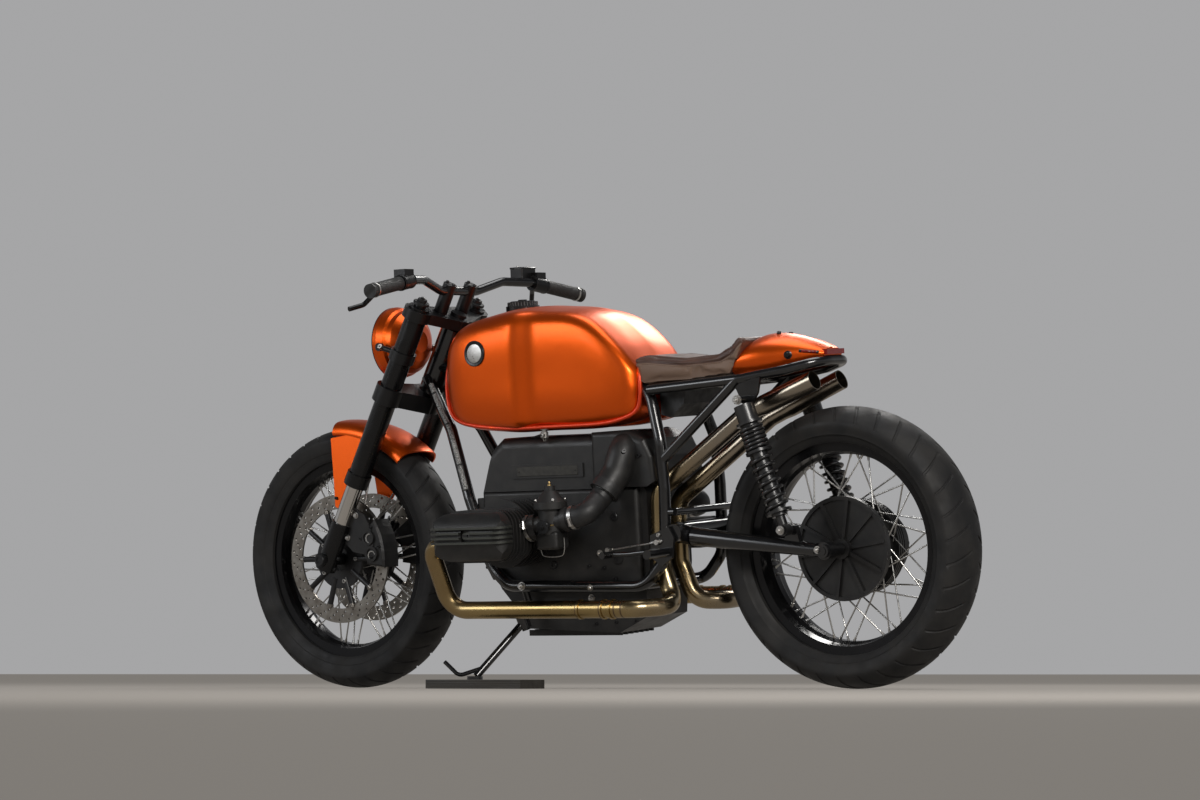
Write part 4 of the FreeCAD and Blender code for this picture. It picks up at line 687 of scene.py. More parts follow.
leg_cap = [(0.0205, -0.001), (0.0205, 0.003), (0.0190, 0.0045), (0.0120, 0.0045, 6), (0.0120, 0.0115, 6),
           (0.0105, 0.0125), (0.0052, 0.0125), (0.0052, 0.0160), (0.0040, 0.0168)]
axle_cap = [(0.0150, -0.001), (0.0150, 0.002), (0.0135, 0.0035), (0.0088, 0.0035, 6), (0.0088, 0.0015, 6)]
points, faces = [], []
for side, leg in ((-1, "fork_right"), (1, "fork_left")):
    seat, _ = touch(leg, (0, side * leg_half_spread, 0.9), (0, 0, -1), fork_line)
    stacked(points, faces, seat, fork_direction, leg_cap, 24)
    seat, outward = touch("front_axle", (0, side * 0.3, 0), (0, -side, 0), fork_line)
    stacked(points, faces, seat, outward, axle_cap, 24)
piece("fork_caps", points, faces, Matrix(), "steering", black_screw)

# Front fender, tank, headlight bowl and tail
# Pressed steel under a satin metallic orange: a red-orange base with fine flakes and a clear
# coat that is rubbed down to a silky sheen.


def lacquer(material, weight, roughness):
    """Clear coat over the finish."""
    shader_of(material).inputs["Coat Weight"].default_value = weight
    shader_of(material).inputs["Coat Roughness"].default_value = roughness


orange = finish("orange_paint", (0.72, 0.082, 0.002), 0.88, 0.36)
mottle(orange, (0.80, 0.112, 0.003), 1400.0, low=0.42, high=0.60)
polish_varies(orange, 0.31, 0.39, 500.0)
roughen(orange, 2600.0, 0.05, 0.0001)
lacquer(orange, 0.16, 0.18)
dress(orange, "front_fender", "fuel_tank", "tail_cowl", "headlight_shell")
fender_screws = []
for side in (-1, 1):
    for ahead, up in ((0.036, 0.140), (0.060, 0.140)):
        fender_screws.append(("front_fender", (ahead, side * 0.3, up), (0, -side, 0), 0.0042))
fasteners("fender_screws", socket_head, fender_screws, fork_line, "steering", black_screw)

# Headlight glass, reflector and brackets
# A clear moulded glass with upright flutes, held by a thin black rim. A chromed reflector with
# a bulb shield lies behind it, and black brackets hold the bowl by a steel screw on each side.


def ripples(material, distance, pitch, strength, depth):
    """Even ribs across a distance in metres, as bump."""
    nodes, links = material.node_tree.nodes, material.node_tree.links
    rate = nodes.new("ShaderNodeMath")
    rate.operation = "MULTIPLY"
    rate.inputs[1].default_value = 2 * math.pi / pitch
    wave = nodes.new("ShaderNodeMath")
    wave.operation = "SINE"
    links.new(distance, rate.inputs[0])
    links.new(rate.outputs[0], wave.inputs[0])
    emboss(material, wave.outputs[0], strength, depth)


def from_fork(ahead, side, up):
    """Point on the upright bike, given ahead of, beside and up the fork from the front axle."""
    return front_axle_place + fork_ahead * ahead + Vector((0, side, 0)) + fork_up * up


lamp_centre = from_fork(0.1174, 0, 0.5403)
lamp_faces = Vector((1, 0, 0))
glass = finish("clear_glass", (0.93, 0.95, 0.96), 0.0, 0.03)
shader_of(glass).inputs["Transmission Weight"].default_value = 0.9
shader_of(glass).inputs["IOR"].default_value = 1.45
across_lamp = along_line(glass, fork_foot, steered.to_3x3() @ Vector((0, 1, 0)))
ripples(glass, across_lamp, 0.009, 0.5, 0.0008)
dress(glass, "headlight_lens")

chrome = finish("reflector_chrome", (0.72, 0.72, 0.72), 1.0, 0.10)
polish_varies(chrome, 0.06, 0.14, 60.0)
roughen(chrome, 500.0, 0.05, 0.0001)
reflector = [(0.0785, -0.0050), (0.0780, -0.0042), (0.0600, -0.0075), (0.0400, -0.0090), (0.0260, -0.0094),
             (0.0240, -0.0060), (0.0150, -0.0030), (0.0040, -0.0020)]
points, faces = [], []
stacked(points, faces, lamp_centre, lamp_faces, reflector, 48)
piece("headlight_reflector", points, faces, steered, "steering", chrome)

rim_black = finish("lamp_rim_black", (0.008, 0.008, 0.0085), 0.3, 0.24)
polish_varies(rim_black, 0.18, 0.30, 60.0)
roughen(rim_black, 900.0, 0.08, 0.0001)
lamp_rim = [(0.0786, 0.0002), (0.0800, 0.0034), (0.0850, 0.0030), (0.0884, 0.0002), (0.0886, -0.0020),
            (0.0850, -0.0010)]
points, faces = [], []
stacked(points, faces, lamp_centre, lamp_faces, lamp_rim, 64, ring=True)
piece("headlight_rim", points, faces, steered, "steering", rim_black)
dress(fork_black, "headlight_brackets")
bracket_screws = []
for side in (-1, 1):
    bracket_screws.append(("headlight_brackets", (0.077, side * 0.3, 0.549), (0, -side, 0), 0.0062))
fasteners("headlight_screws", socket_head, bracket_screws, fork_line, "steering", screw_steel)

# Handlebar, grips and controls
# A black steel bar with ribbed rubber grips and turned end rings. The clutch and brake levers
# turn on plain pivot bolts, and a flat lid closes the brake's fluid cup.
gloss_black = finish("gloss_black", (0.005, 0.005, 0.0055), 0.0, 0.2)
lacquer(gloss_black, 0.5, 0.08)
polish_varies(gloss_black, 0.16, 0.28, 26.0)
roughen(gloss_black, 300.0, 0.05, 0.0003)
grip_rubber = finish("grip_rubber", (0.010, 0.010, 0.010), 0.0, 0.6)
mottle(grip_rubber, (0.015, 0.0145, 0.014), 90.0)
polish_varies(grip_rubber, 0.52, 0.74, 80.0)
across_bars = along_line(grip_rubber, fork_foot, fork_line.to_3x3() @ Vector((0, 1, 0)))
ripples(grip_rubber, across_bars, 0.0045, 0.8, 0.0010)
dress(gloss_black, "handlebar")
dress(grip_rubber, "grips")
dress(fork_black, "controls_left", "controls_right")

bar_end = Vector((-0.0742, 0.396, 0.7679))
bar_bend = Vector((-0.0429, 0.228, 0.7841))
end_ring = [(0.0120, -0.0020), (0.0179, -0.0020), (0.0184, 0.0), (0.0179, 0.0030), (0.0120, 0.0030)]
clamp_ring = [(0.0150, 0.0), (0.0194, 0.0), (0.0198, 0.0012), (0.0194, 0.0024), (0.0150, 0.0024)]
control_points, control_faces = [], []
end_points, end_faces = [], []
for side in (-1, 1):
    end = fork_line @ Vector((bar_end.x, side * bar_end.y, bar_end.z))
    bend = fork_line @ Vector((bar_bend.x, side * bar_bend.y, bar_bend.z))
    inward = (bend - end).normalized()
    stacked(end_points, end_faces, end + inward * 0.0105, inward, end_ring, 32, ring=True)
    for clamp_at in (0.1235, 0.1640):
        stacked(control_points, control_faces, end + inward * clamp_at, inward, clamp_ring, 32, ring=True)
piece("bar_end_rings", end_points, end_faces, Matrix(), "steering", screw_steel)
piece("control_clamp_rings", control_points, control_faces, Matrix(), "steering", rim_black)

left_bar_end = from_fork(*bar_end)
along_bar = (from_fork(*bar_bend) - left_bar_end).normalized()
lever_pivot = left_bar_end + along_bar * 0.136 + Vector((0.034, 0.008, -0.006))
pivots = []
for side, node in ((1, "controls_left"), (-1, "controls_right")):
    above = (lever_pivot.x, side * lever_pivot.y, lever_pivot.z + 0.06)
    pivots.append((node, above, (0, 0, -1), 0.0052))
fasteners("lever_pivots", washer_nut, pivots, steered, "steering", screw_steel)


def rounded_plate(points, faces, middle, along, across, outward, half_long, half_wide, corner, layers):
    """Flat plate with round corners, in layers of an inset and a height each."""
    base = len(points)
    for inset, rise in layers:
        for way_along, way_across, first in ((1, 1, 0), (-1, 1, 90), (-1, -1, 180), (1, -1, 270)):
            for step in range(4):
                turn = math.radians(first + step * 30)
                reach_along = way_along * (half_long - corner) + math.cos(turn) * (corner - inset)
                reach_across = way_across * (half_wide - corner) + math.sin(turn) * (corner - inset)
                points.append(middle + along * reach_along + across * reach_across + outward * rise)
    edge = (len(points) - base) // len(layers)
    for layer in range(len(layers) - 1):
        low = base + layer * edge
        for step in range(edge):
            after = (step + 1) % edge
            faces.append((low + step, low + after, low + edge + after, low + edge + step))
    faces.append(tuple(base + step for step in reversed(range(edge))))
    faces.append(tuple(len(points) - edge + step for step in range(edge)))


cup_corner = left_bar_end + along_bar * 0.158 + Vector((0.020, 0, 0.008))
cup_middle = Vector((cup_corner.x + 0.004, -cup_corner.y + 0.014, cup_corner.z + 0.030))
points, faces = [], []
rounded_plate(points, faces, cup_middle, Vector((1, 0, 0)), Vector((0, 1, 0)), Vector((0, 0, 1)),
              half_long=0.0212, half_wide=0.0292, corner=0.005,
              layers=[(0.0, -0.0006), (0.0, 0.0024), (0.0012, 0.0036)])
piece("fluid_cup_lid", points, faces, steered, "steering", rim_black, sharp=25.0)
points, faces = [], []
for end in (-1, 1):
    seat = cup_middle + Vector((0, end * 0.020, 0.0034))
    stacked(points, faces, seat, Vector((0, 0, 1)), socket_head(0.0032))
piece("fluid_cup_screws", points, faces, steered, "steering", screw_steel)

# Frame and swing arm
# Welded steel tube with a baked gloss black coat. Nuts close the lower frame bolts and the rear
# axle's left end.
dress(gloss_black, "main_frame", "rear_frame", "swing_arm")
frame_nuts = [("swing_arm", (0.012, 0.4, 0.330), (0, -1, 0), 0.0070)]
for side in (-1, 1):
    inward = (0, -side, 0)
    frame_nuts.append(("main_frame", (0.839, side * 0.4, 0.258), inward, 0.0080))
    frame_nuts.append(("main_frame", (0.640, side * 0.4, 0.252), inward, 0.0062))
fasteners("frame_nuts", washer_nut, frame_nuts, parked, "frame", screw_steel)

# Wiring sleeve
# A braided grey sleeve carries the loom from the steering head down the left down tube. It is
# stiff, and three rubber straps hold it to the tube.
braid = finish("braided_sleeve", (0.42, 0.42, 0.40), 0.0, 0.6)
mottle(braid, (0.07, 0.07, 0.07), 420.0, low=0.47, high=0.53)
polish_varies(braid, 0.55, 0.8, 400.0)
roughen(braid, 1500.0, 0.7, 0.0008)
soft_rubber = finish("soft_rubber", (0.009, 0.009, 0.0095), 0.0, 0.5)
mottle(soft_rubber, (0.014, 0.014, 0.014), 90.0)
polish_varies(soft_rubber, 0.38, 0.60, 60.0)
roughen(soft_rubber, 1200.0, 0.25, 0.0004)


def swept(points, faces, line, radius, sides=12):
    """Round tube along a line of points, closed at both ends."""
    base = len(points)
    across = (line[1] - line[0]).orthogonal().normalized()
    for number, centre in enumerate(line):
        along = (line[min(number + 1, len(line) - 1)] - line[max(number - 1, 0)]).normalized()
        across = (across - along * across.dot(along)).normalized()
        other = along.cross(across)
        for side in range(sides):
            turn = 2 * math.pi * side / sides
            points.append(centre + across * (math.cos(turn) * radius) + other * (math.sin(turn) * radius))
    for number in range(len(line) - 1):
        low = base + number * sides
        for side in range(sides):
            after = (side + 1) % sides
            faces.append((low + side, low + after, low + sides + after, low + sides + side))
    last = base + (len(line) - 1) * sides
    faces.append(tuple(base + side for side in reversed(range(sides))))
    faces.append(tuple(last + side for side in range(sides)))


sleeve_radius = 0.0058
sleeve_strap = [(0.0056, -0.0024), (0.0070, -0.0024), (0.0070, 0.0024), (0.0056, 0.0024)]
tube_side = Vector((-0.010, 0.0185, 0.0))
sleeve_route = [from_fork(-0.0560, 0.030, 0.512) + tube_side, from_fork(-0.1200, 0.048, 0.475) + tube_side,
                from_fork(-0.1770, 0.062, 0.4466) + tube_side * 1.1,
                Vector((1.052, 0.078, 0.560)) + tube_side, Vector((1.022, 0.095, 0.492)) + tube_side]
sleeve_line = smooth_through(sleeve_route, 8)
points, faces = [], []
swept(points, faces, sleeve_line, sleeve_radius, 16)
piece("wiring_sleeve", points, faces, parked, "frame", braid)
points, faces = [], []
for share in (0.12, 0.45, 0.80):
    number = int(share * (len(sleeve_line) - 1))
    along = (sleeve_line[number + 1] - sleeve_line[number]).normalized()
    stacked(points, faces, sleeve_line[number], along, sleeve_strap, 20, ring=True)
piece("sleeve_straps", points, faces, parked, "frame", soft_rubber)

# Tank's seam, badge, cap and tap
# The tank's two pressings meet in a welded lip round its base, sprayed a redder orange. A blank
# round badge sits on each flank, a ribbed black cap on top, and a steel tap below on the left.
seam_paint = finish("seam_paint", (0.55, 0.034, 0.005), 0.4, 0.34)
mottle(seam_paint, (0.62, 0.048, 0.006), 300.0)
polish_varies(seam_paint, 0.28, 0.40, 300.0)
roughen(seam_paint, 1800.0, 0.06, 0.0001)
tank_front = from_fork(-0.1421, 0, 0.5719).x
tank_rear = 0.498
tank_low = 0.630
seam_side = 0.130
seam_radius = 0.0051
seam_route = [(tank_front - 0.008, seam_side - 0.046, 0.204), (tank_front + 0.001, seam_side - 0.030, 0.150),
              (tank_front - 0.001, seam_side - 0.020, 0.098), (tank_front - 0.013, seam_side - 0.014, 0.054),
              (tank_front - 0.042, seam_side - 0.006, 0.029), (tank_front - 0.100, seam_side + 0.001, 0.015),
              (tank_front - 0.200, seam_side + 0.001, 0.006), (tank_rear + 0.250, seam_side - 0.009, 0.006),
              (tank_rear + 0.110, seam_side - 0.014, 0.008), (tank_rear + 0.042, seam_side - 0.018, 0.019),
              (tank_rear + 0.008, seam_side - 0.022, 0.036), (tank_rear - 0.003, seam_side - 0.024, 0.064),
              (tank_rear - 0.003, seam_side - 0.027, 0.104), (tank_rear + 0.003, seam_side - 0.036, 0.140)]
for side, name in ((1, "tank_seam_left"), (-1, "tank_seam_right")):
    points, faces = [], []
    seam = [Vector((x, y * side, tank_low + rise)) for x, y, rise in seam_route]
    swept(points, faces, smooth_through(seam, 8), seam_radius, 14)
    piece(name, points, faces, parked, "frame", seam_paint)

badge_silver = finish("badge_silver", (0.46, 0.45, 0.43), 1.0, 0.34)
mottle(badge_silver, (0.38, 0.37, 0.35), 200.0)
polish_varies(badge_silver, 0.26, 0.42, 160.0)
roughen(badge_silver, 1600.0, 0.2, 0.0001)
badge_radius = 0.031
badge_ring = [(badge_radius - 0.0085, -0.004), (badge_radius - 0.0085, 0.0022),
              (badge_radius - 0.0070, 0.0030), (badge_radius - 0.0010, 0.0030), (badge_radius, 0.0020),
              (badge_radius, -0.004)]
badge_face = [(badge_radius - 0.0083, -0.004), (badge_radius - 0.0083, 0.0020),
              (badge_radius - 0.0140, 0.0027), (0.0040, 0.0031)]
for side, name in ((-1, "right"), (1, "left")):
    middle, outward = touch("fuel_tank", (0.936, side * 0.4, 0.820), (0, -side, 0), parked)
    points, faces = [], []
    stacked(points, faces, middle, outward, badge_ring, 48, ring=True)
    piece("badge_ring_" + name, points, faces, Matrix(), "frame", rim_black)
    points, faces = [], []
    stacked(points, faces, middle, outward, badge_face, 48)
    piece("badge_face_" + name, points, faces, Matrix(), "frame", badge_silver)

dress(gloss_black, "filler_cap")
row_side = parked.to_3x3() @ Vector((0, 1, 0))
row_up = parked.to_3x3() @ Vector((0, 0, 1))
cap_behind_nose = 0.161
cap_ribs = 30
cap_rib_circle = 0.0352
cap_seat, _ = touch("filler_cap", (tank_front - cap_behind_nose, 0, 1.2), (0, 0, -1), parked)
points, faces = [], []
for number in range(cap_ribs):
    turn = 2 * math.pi * number / cap_ribs
    out = parked.to_3x3() @ Vector((math.cos(turn), math.sin(turn), 0))
    rib = cap_seat + out * cap_rib_circle
    tapered_peg(points, faces, rib - row_up * 0.010, rib - row_up * 0.0005, 0.0022, 0.0018, 6)
piece("cap_ribs", points, faces, Matrix(), "frame", soft_rubber)
cap_top = [(0.0300, -0.001), (0.0300, 0.0012), (0.0270, 0.0022), (0.0110, 0.0022), (0.0110, 0.0046),
           (0.0095, 0.0054)]
points, faces = [], []
stacked(points, faces, cap_seat, row_up, cap_top, 40)
piece("cap_top", points, faces, Matrix(), "frame", rim_black)

tap_seat, _ = touch("fuel_tank", (0.772, 0.110, 0.50), (0, 0, 1), parked)
tap_body = [(0.0100, -0.002), (0.0100, 0.0055, 6), (0.0066, 0.0060), (0.0066, 0.0100), (0.0090, 0.0110),
            (0.0090, 0.0250), (0.0062, 0.0270), (0.0040, 0.0330)]
tap_spindle = [(0.0060, 0.0), (0.0060, 0.0130), (0.0048, 0.0140)]
spindle_seat = tap_seat - row_up * 0.018
points, faces = [], []
stacked(points, faces, tap_seat, -row_up, tap_body)
stacked(points, faces, spindle_seat, row_side, tap_spindle)
piece("fuel_tap", points, faces, Matrix(), "frame", screw_steel)
lever_start = spindle_seat + row_side * 0.0115
lever_way = parked.to_3x3() @ Vector((0.020, 0.004, -0.004))
points, faces = [], []
tapered_peg(points, faces, lever_start, lever_start + lever_way, 0.0038, 0.0026, 10)
piece("tap_lever", points, faces, Matrix(), "frame", rim_black)

# Engine castings
# Die-cast cases, blasted and sprayed a dry grey-black that wears paler along the rocker covers'
# fins. Screws and plugs close each cover, and a blank plate is riveted on each side under the tank.
engine_black = finish("engine_black", (0.017, 0.017, 0.017), 0.3, 0.46)
mottle(engine_black, (0.027, 0.026, 0.025), 30.0)
polish_varies(engine_black, 0.36, 0.52, 22.0)
roughen(engine_black, 900.0, 0.35, 0.0006)
dress(engine_black, "crankcase", "engine_top_cover", "air_box", "gearbox", "oil_pan", "cylinder_left",
      "cylinder_right")
cover_black = finish("cover_black", (0.015, 0.015, 0.015), 0.3, 0.42)
mottle(cover_black, (0.024, 0.023, 0.022), 30.0)
polish_varies(cover_black, 0.34, 0.48, 22.0)
roughen(cover_black, 900.0, 0.3, 0.0005)
row_origin = parked @ Vector((0, 0, 0))
row_ahead = parked.to_3x3() @ Vector((1, 0, 0))
lowest_fin = 0.37575
fin_pitch = 0.0115
fin_half_height = 0.0027
cover_height = along_line(cover_black, row_origin, row_up)
for number in range(4):
    fin = lowest_fin + fin_pitch * number
    worn_edge = between(cover_black, cover_height, fin - fin_half_height, fin + fin_half_height)
    overlay(cover_black, worn_edge, (0.075, 0.078, 0.070), 0.75, 0.36)
dress(cover_black, "rocker_cover_left", "rocker_cover_right")

case_screws = []
case_nuts = [("crankcase", (0.634, 0.3, 0.331), (0, -1, 0), 0.0062),
             ("oil_pan", (0.676, 0.3, 0.223), (0, -1, 0), 0.0072)]
for side in (-1, 1):
    inward = (0, -side, 0)
    for ahead, up, radius in ((0.624, 0.296, 0.0044), (0.667, 0.301, 0.0040), (0.593, 0.269, 0.0056)):
        case_screws.append(("crankcase", (ahead, side * 0.3, up), inward, radius))
    for ahead, up in ((0.550, 0.168), (0.608, 0.165), (0.666, 0.162)):
        case_screws.append(("oil_pan", (ahead, side * 0.3, up), inward, 0.0040))
    for ahead, up in ((0.526, 0.571), (0.504, 0.560)):
        case_screws.append(("air_box", (ahead, side * 0.3, up), inward, 0.0056))
    for across in (0.030, 0.062):
        for up in (0.300, 0.440):
            case_screws.append(("crankcase", (1.3, side * across, up), (-1, 0, 0), 0.0042))
fasteners("case_screws", socket_head, case_screws, parked, "frame", black_screw)
fasteners("case_nuts", washer_nut, case_nuts, parked, "frame", screw_steel)

round_plug = [(0.0130, -0.001), (0.0130, 0.0015), (0.0105, 0.0030), (0.0062, 0.0030), (0.0062, 0.0012)]
six_sided_plug = [(0.0100, -0.001), (0.0100, 0.0022), (0.0088, 0.0034), (0.0050, 0.0034, 6),
                  (0.0050, 0.0010, 6)]
points, faces = [], []
for side in (-1, 1):
    inward = (0, -side, 0)
    seat, outward = touch("crankcase", (0.582, side * 0.3, 0.316), inward, parked)
    stacked(points, faces, seat, outward, round_plug, 28)
    for ahead, up in ((0.588, 0.417), (0.770, 0.305)):
        seat, outward = touch("crankcase", (ahead, side * 0.3, up), inward, parked)
        stacked(points, faces, seat, outward, six_sided_plug, 24)
piece("case_plugs", points, faces, Matrix(), "frame", black_screw)

plate_grey = finish("plate_grey", (0.032, 0.031, 0.028), 0.4, 0.42)
mottle(plate_grey, (0.050, 0.048, 0.042), 90.0)
polish_varies(plate_grey, 0.34, 0.50, 120.0)
roughen(plate_grey, 1400.0, 0.2, 0.0001)
plate_ahead = 0.773
plate_up = 0.5305
plate_half_long = 0.089
plate_half_high = 0.0115
rivet_inset = 0.006
rivet = [(0.0024, 0.0), (0.0022, 0.0010), (0.0010, 0.0016)]
forward = row_ahead.normalized()
for side, name in ((-1, "right"), (1, "left")):
    middle, outward = touch("engine_top_cover", (plate_ahead, side * 0.4, plate_up), (0, -side, 0), parked)
    points, faces = [], []
    rounded_plate(points, faces, middle, forward, outward.cross(forward).normalized(), outward,
                  plate_half_long, plate_half_high, corner=0.004,
                  layers=[(0.0, -0.0010), (0.0, 0.0009), (0.0008, 0.0014)])
    for end in (-1, 1):
        rivet_seat = middle + forward * (end * (plate_half_long - rivet_inset)) + outward * 0.0010
        stacked(points, faces, rivet_seat, outward, rivet, 12)
    piece("blank_plate_" + name, points, faces, Matrix(), "frame", plate_grey, sharp=25.0)

# Carburettors and hoses
# Black alloy constant-depression carburettors with a screwed bell on top, a throttle drum on the
# outside and a float bowl held by a wire clip. Rubber hoses join them to the head and the air box
# under steel band clamps.
dress(engine_black, "carburettor_left", "carburettor_right")
dress(soft_rubber, "intake_hoses")
clamp_points, clamp_faces = [], []


def band_clamp(middle, axis, radius, screw_side):
    """Steel band round a hose with its worm screw housing."""
    axis = axis.normalized()
    inside, outside, half_band = radius - 0.0006, radius + 0.0008, 0.0045
    band = [(inside, -half_band), (outside, -half_band), (outside, half_band), (inside, half_band)]
    stacked(clamp_points, clamp_faces, middle, axis, band, 40, ring=True)
    out = (screw_side - axis * screw_side.dot(axis)).normalized()
    along = axis.cross(out)
    box = middle + out * (radius + 0.0028)
    tapered_peg(clamp_points, clamp_faces, box - along * 0.0075, box + along * 0.0075, 0.0040, 0.0040, 10)
    tapered_peg(clamp_points, clamp_faces, box + along * 0.0075, box + along * 0.0115, 0.0046, 0.0044, 6)


right_set_back = 0.042
for side, set_back in ((1, 0.0), (-1, right_set_back)):
    front = Vector((0.733 - set_back, side * 0.234, 0.402))
    back = Vector((0.631 - set_back, side * 0.224, 0.421))
    along = (back - front).normalized()
    band_clamp(front - along * 0.006, along, 0.0312, Vector((0, side, 0.3)))
    band_clamp(back + along * 0.012, along, 0.0282, Vector((0, side, -0.3)))
    mouth = Vector((0.566, side * 0.148, 0.496))
    duct_axis = Vector((0.3203, side * 0.5506, -0.7708))
    band_clamp(mouth + duct_axis * 0.022, duct_axis, 0.0282, Vector((0.3, side, 0.2)))
piece("hose_clamps", clamp_points, clamp_faces, parked, "frame", screw_steel)

brass = finish("jet_brass", (0.50, 0.36, 0.16), 1.0, 0.3)
mottle(brass, (0.36, 0.25, 0.11), 260.0)
polish_varies(brass, 0.24, 0.42, 240.0)
roughen(brass, 2400.0, 0.15, 0.0001)
bell_ahead = 0.682
bell_side = 0.229
bell_screw_circle = 0.0345
bowl_clip = ((0.034, 0.026), (0.033, -0.004), (0.022, -0.0168), (-0.022, -0.0168), (-0.033, -0.004),
             (-0.034, 0.026))
throttle_drum = [(0.0050, -0.001), (0.0050, 0.0040), (0.0160, 0.0040), (0.0170, 0.0050), (0.0135, 0.0065),
                 (0.0170, 0.0080), (0.0160, 0.0090), (0.0060, 0.0090), (0.0060, 0.0110, 6),
                 (0.0055, 0.0135, 6), (0.0028, 0.0135), (0.0028, 0.0155)]
bell_jet = [(0.0048, -0.001), (0.0048, 0.0030, 6), (0.0028, 0.0036), (0.0028, 0.0070), (0.0034, 0.0074),
            (0.0026, 0.0100)]
bell_screws = []
clip_points, clip_faces = [], []
throttle_points, throttle_faces = [], []
brass_points, brass_faces = [], []
for side, node, set_back in ((1, "carburettor_left", 0.0), (-1, "carburettor_right", right_set_back)):
    ahead = bell_ahead - set_back
    across = side * bell_side
    for number in range(4):
        turn = math.radians(45 + 90 * number)
        above = (ahead + bell_screw_circle * math.cos(turn), across + bell_screw_circle * math.sin(turn), 0.7)
        bell_screws.append((node, above, (0, 0, -1), 0.0034))
    clip = [Vector((ahead, across, 0.350)) + Vector((forth, 0, rise)) for forth, rise in bowl_clip]
    swept(clip_points, clip_faces, smooth_through(clip, 5), 0.0011, 8)
    seat, outward = touch(node, (ahead, side * 0.4, 0.404), (0, -side, 0), parked)
    stacked(throttle_points, throttle_faces, seat, outward, throttle_drum, 28)
    stop = seat + outward * 0.0065 - row_ahead * 0.020 + row_up * 0.004
    screw_front, screw_middle, screw_back = (stop - row_ahead * back for back in (-0.008, 0.003, 0.012))
    tapered_peg(throttle_points, throttle_faces, screw_front, screw_middle, 0.0034, 0.0034, 10)
    tapered_peg(brass_points, brass_faces, screw_middle, screw_back, 0.0019, 0.0019, 10)
    top, top_out = touch(node, (ahead, across, 0.7), (0, 0, -1), parked)
    stacked(brass_points, brass_faces, top, top_out, bell_jet, 16)
fasteners("bell_screws", socket_head, bell_screws, parked, "frame", screw_steel)
piece("throttle_drums", throttle_points, throttle_faces, Matrix(), "frame", black_screw)
piece("carburettor_brass", brass_points, brass_faces, Matrix(), "frame", brass)
piece("bowl_clips", clip_points, clip_faces, parked, "frame", screw_steel)

# Exhaust
# Stainless tube turned gold by heat, browner near the heads and greyer towards the tips, with
# dark weld beads at its joints. Finned rings screw it to the exhaust ports.
gold = finish("gold_pipe", (0.38, 0.278, 0.125), 1.0, 0.25)
mottle(gold, (0.30, 0.210, 0.085), 9.0)
polish_varies(gold, 0.2, 0.34, 14.0)
roughen(gold, 500.0, 0.06, 0.0002)
pipe_ahead = along_line(gold, row_origin, row_ahead)


def heat_tint(starts, ends, most, colour, roughness):
    """Colour that the gold pipe drifts to between two places along the bike."""
    drift = gold.node_tree.nodes.new("ShaderNodeMapRange")
    drift.inputs["From Min"].default_value = starts
    drift.inputs["From Max"].default_value = ends
    drift.inputs["To Max"].default_value = most
    gold.node_tree.links.new(pipe_ahead, drift.inputs["Value"])
    overlay(gold, drift.outputs["Result"], colour, 1.0, roughness)


heat_tint(0.900, 1.080, 0.62, (0.17, 0.115, 0.085), 0.34)
heat_tint(0.520, 0.300, 0.85, (0.31, 0.275, 0.235), 0.24)
weld_half_width = 0.0016
for weld_at in (0.493, 0.512, 0.553, 0.620):
    weld = between(gold, pipe_ahead, weld_at - weld_half_width, weld_at + weld_half_width, 0.0014)
    overlay(gold, weld, (0.085, 0.055, 0.045), 1.0, 0.42)
dress(gold, "exhaust_left", "exhaust_right")

port_ring = [(0.0262, 0.0), (0.0330, 0.0), (0.0330, 0.0100), (0.0262, 0.0100)]
port_ribs = 14
rib_circle = 0.0340
ring_points, ring_faces = [], []
for side, set_back in ((1, 0.0), (-1, right_set_back)):
    port = Vector((0.937 - set_back, side * 0.278, 0.368))
    stacked(ring_points, ring_faces, port, Vector((1, 0, 0)), port_ring, 48, ring=True)
    for number in range(port_ribs):
        turn = 2 * math.pi * number / port_ribs
        rib = port + Vector((0, math.cos(turn), math.sin(turn))) * rib_circle
        tapered_peg(ring_points, ring_faces, rib + Vector((0.0002, 0, 0)), rib + Vector((0.0098, 0, 0)),
                    0.0036, 0.0030, 8)
piece("port_rings", ring_points, ring_faces, parked, "frame", black_screw)

# Shocks
# Twin dampers in coil springs, wound from thick wire and powder-coated black. A washered nut
# holds each eye to its stud.
spring_black = finish("spring_black", (0.008, 0.008, 0.0085), 0.0, 0.28)
lacquer(spring_black, 0.3, 0.15)
polish_varies(spring_black, 0.24, 0.38, 40.0)
roughen(spring_black, 600.0, 0.1, 0.0002)
dress(spring_black, "shock_left", "shock_right")
shock_eyes = (("rear_frame", 0.187, 0.680, 0.0090), ("swing_arm", 0.089, 0.378, 0.0082))
eye_nuts = []
for side in (-1, 1):
    for node, ahead, up, radius in shock_eyes:
        eye_nuts.append((node, (ahead, side * 0.4, up), (0, -side, 0), radius))
fasteners("shock_nuts", washer_nut, eye_nuts, parked, "frame", screw_steel)

# Rearsets
# Black plates with round pegs, screwed to lugs on the frame. A thin steel rod with a joint at
# each end links the gear pedal to the gearbox.
dress(gloss_black, "rearset_left", "rearset_right")
plate_screws = []
for side, node in ((-1, "rearset_right"), (1, "rearset_left")):
    for ahead, up, radius in ((0.437, 0.373, 0.0050), (0.432, 0.358, 0.0046)):
        plate_screws.append((node, (ahead, side * 0.4, up), (0, -side, 0), radius))
fasteners("rearset_screws", socket_head, plate_screws, parked, "frame", screw_steel)

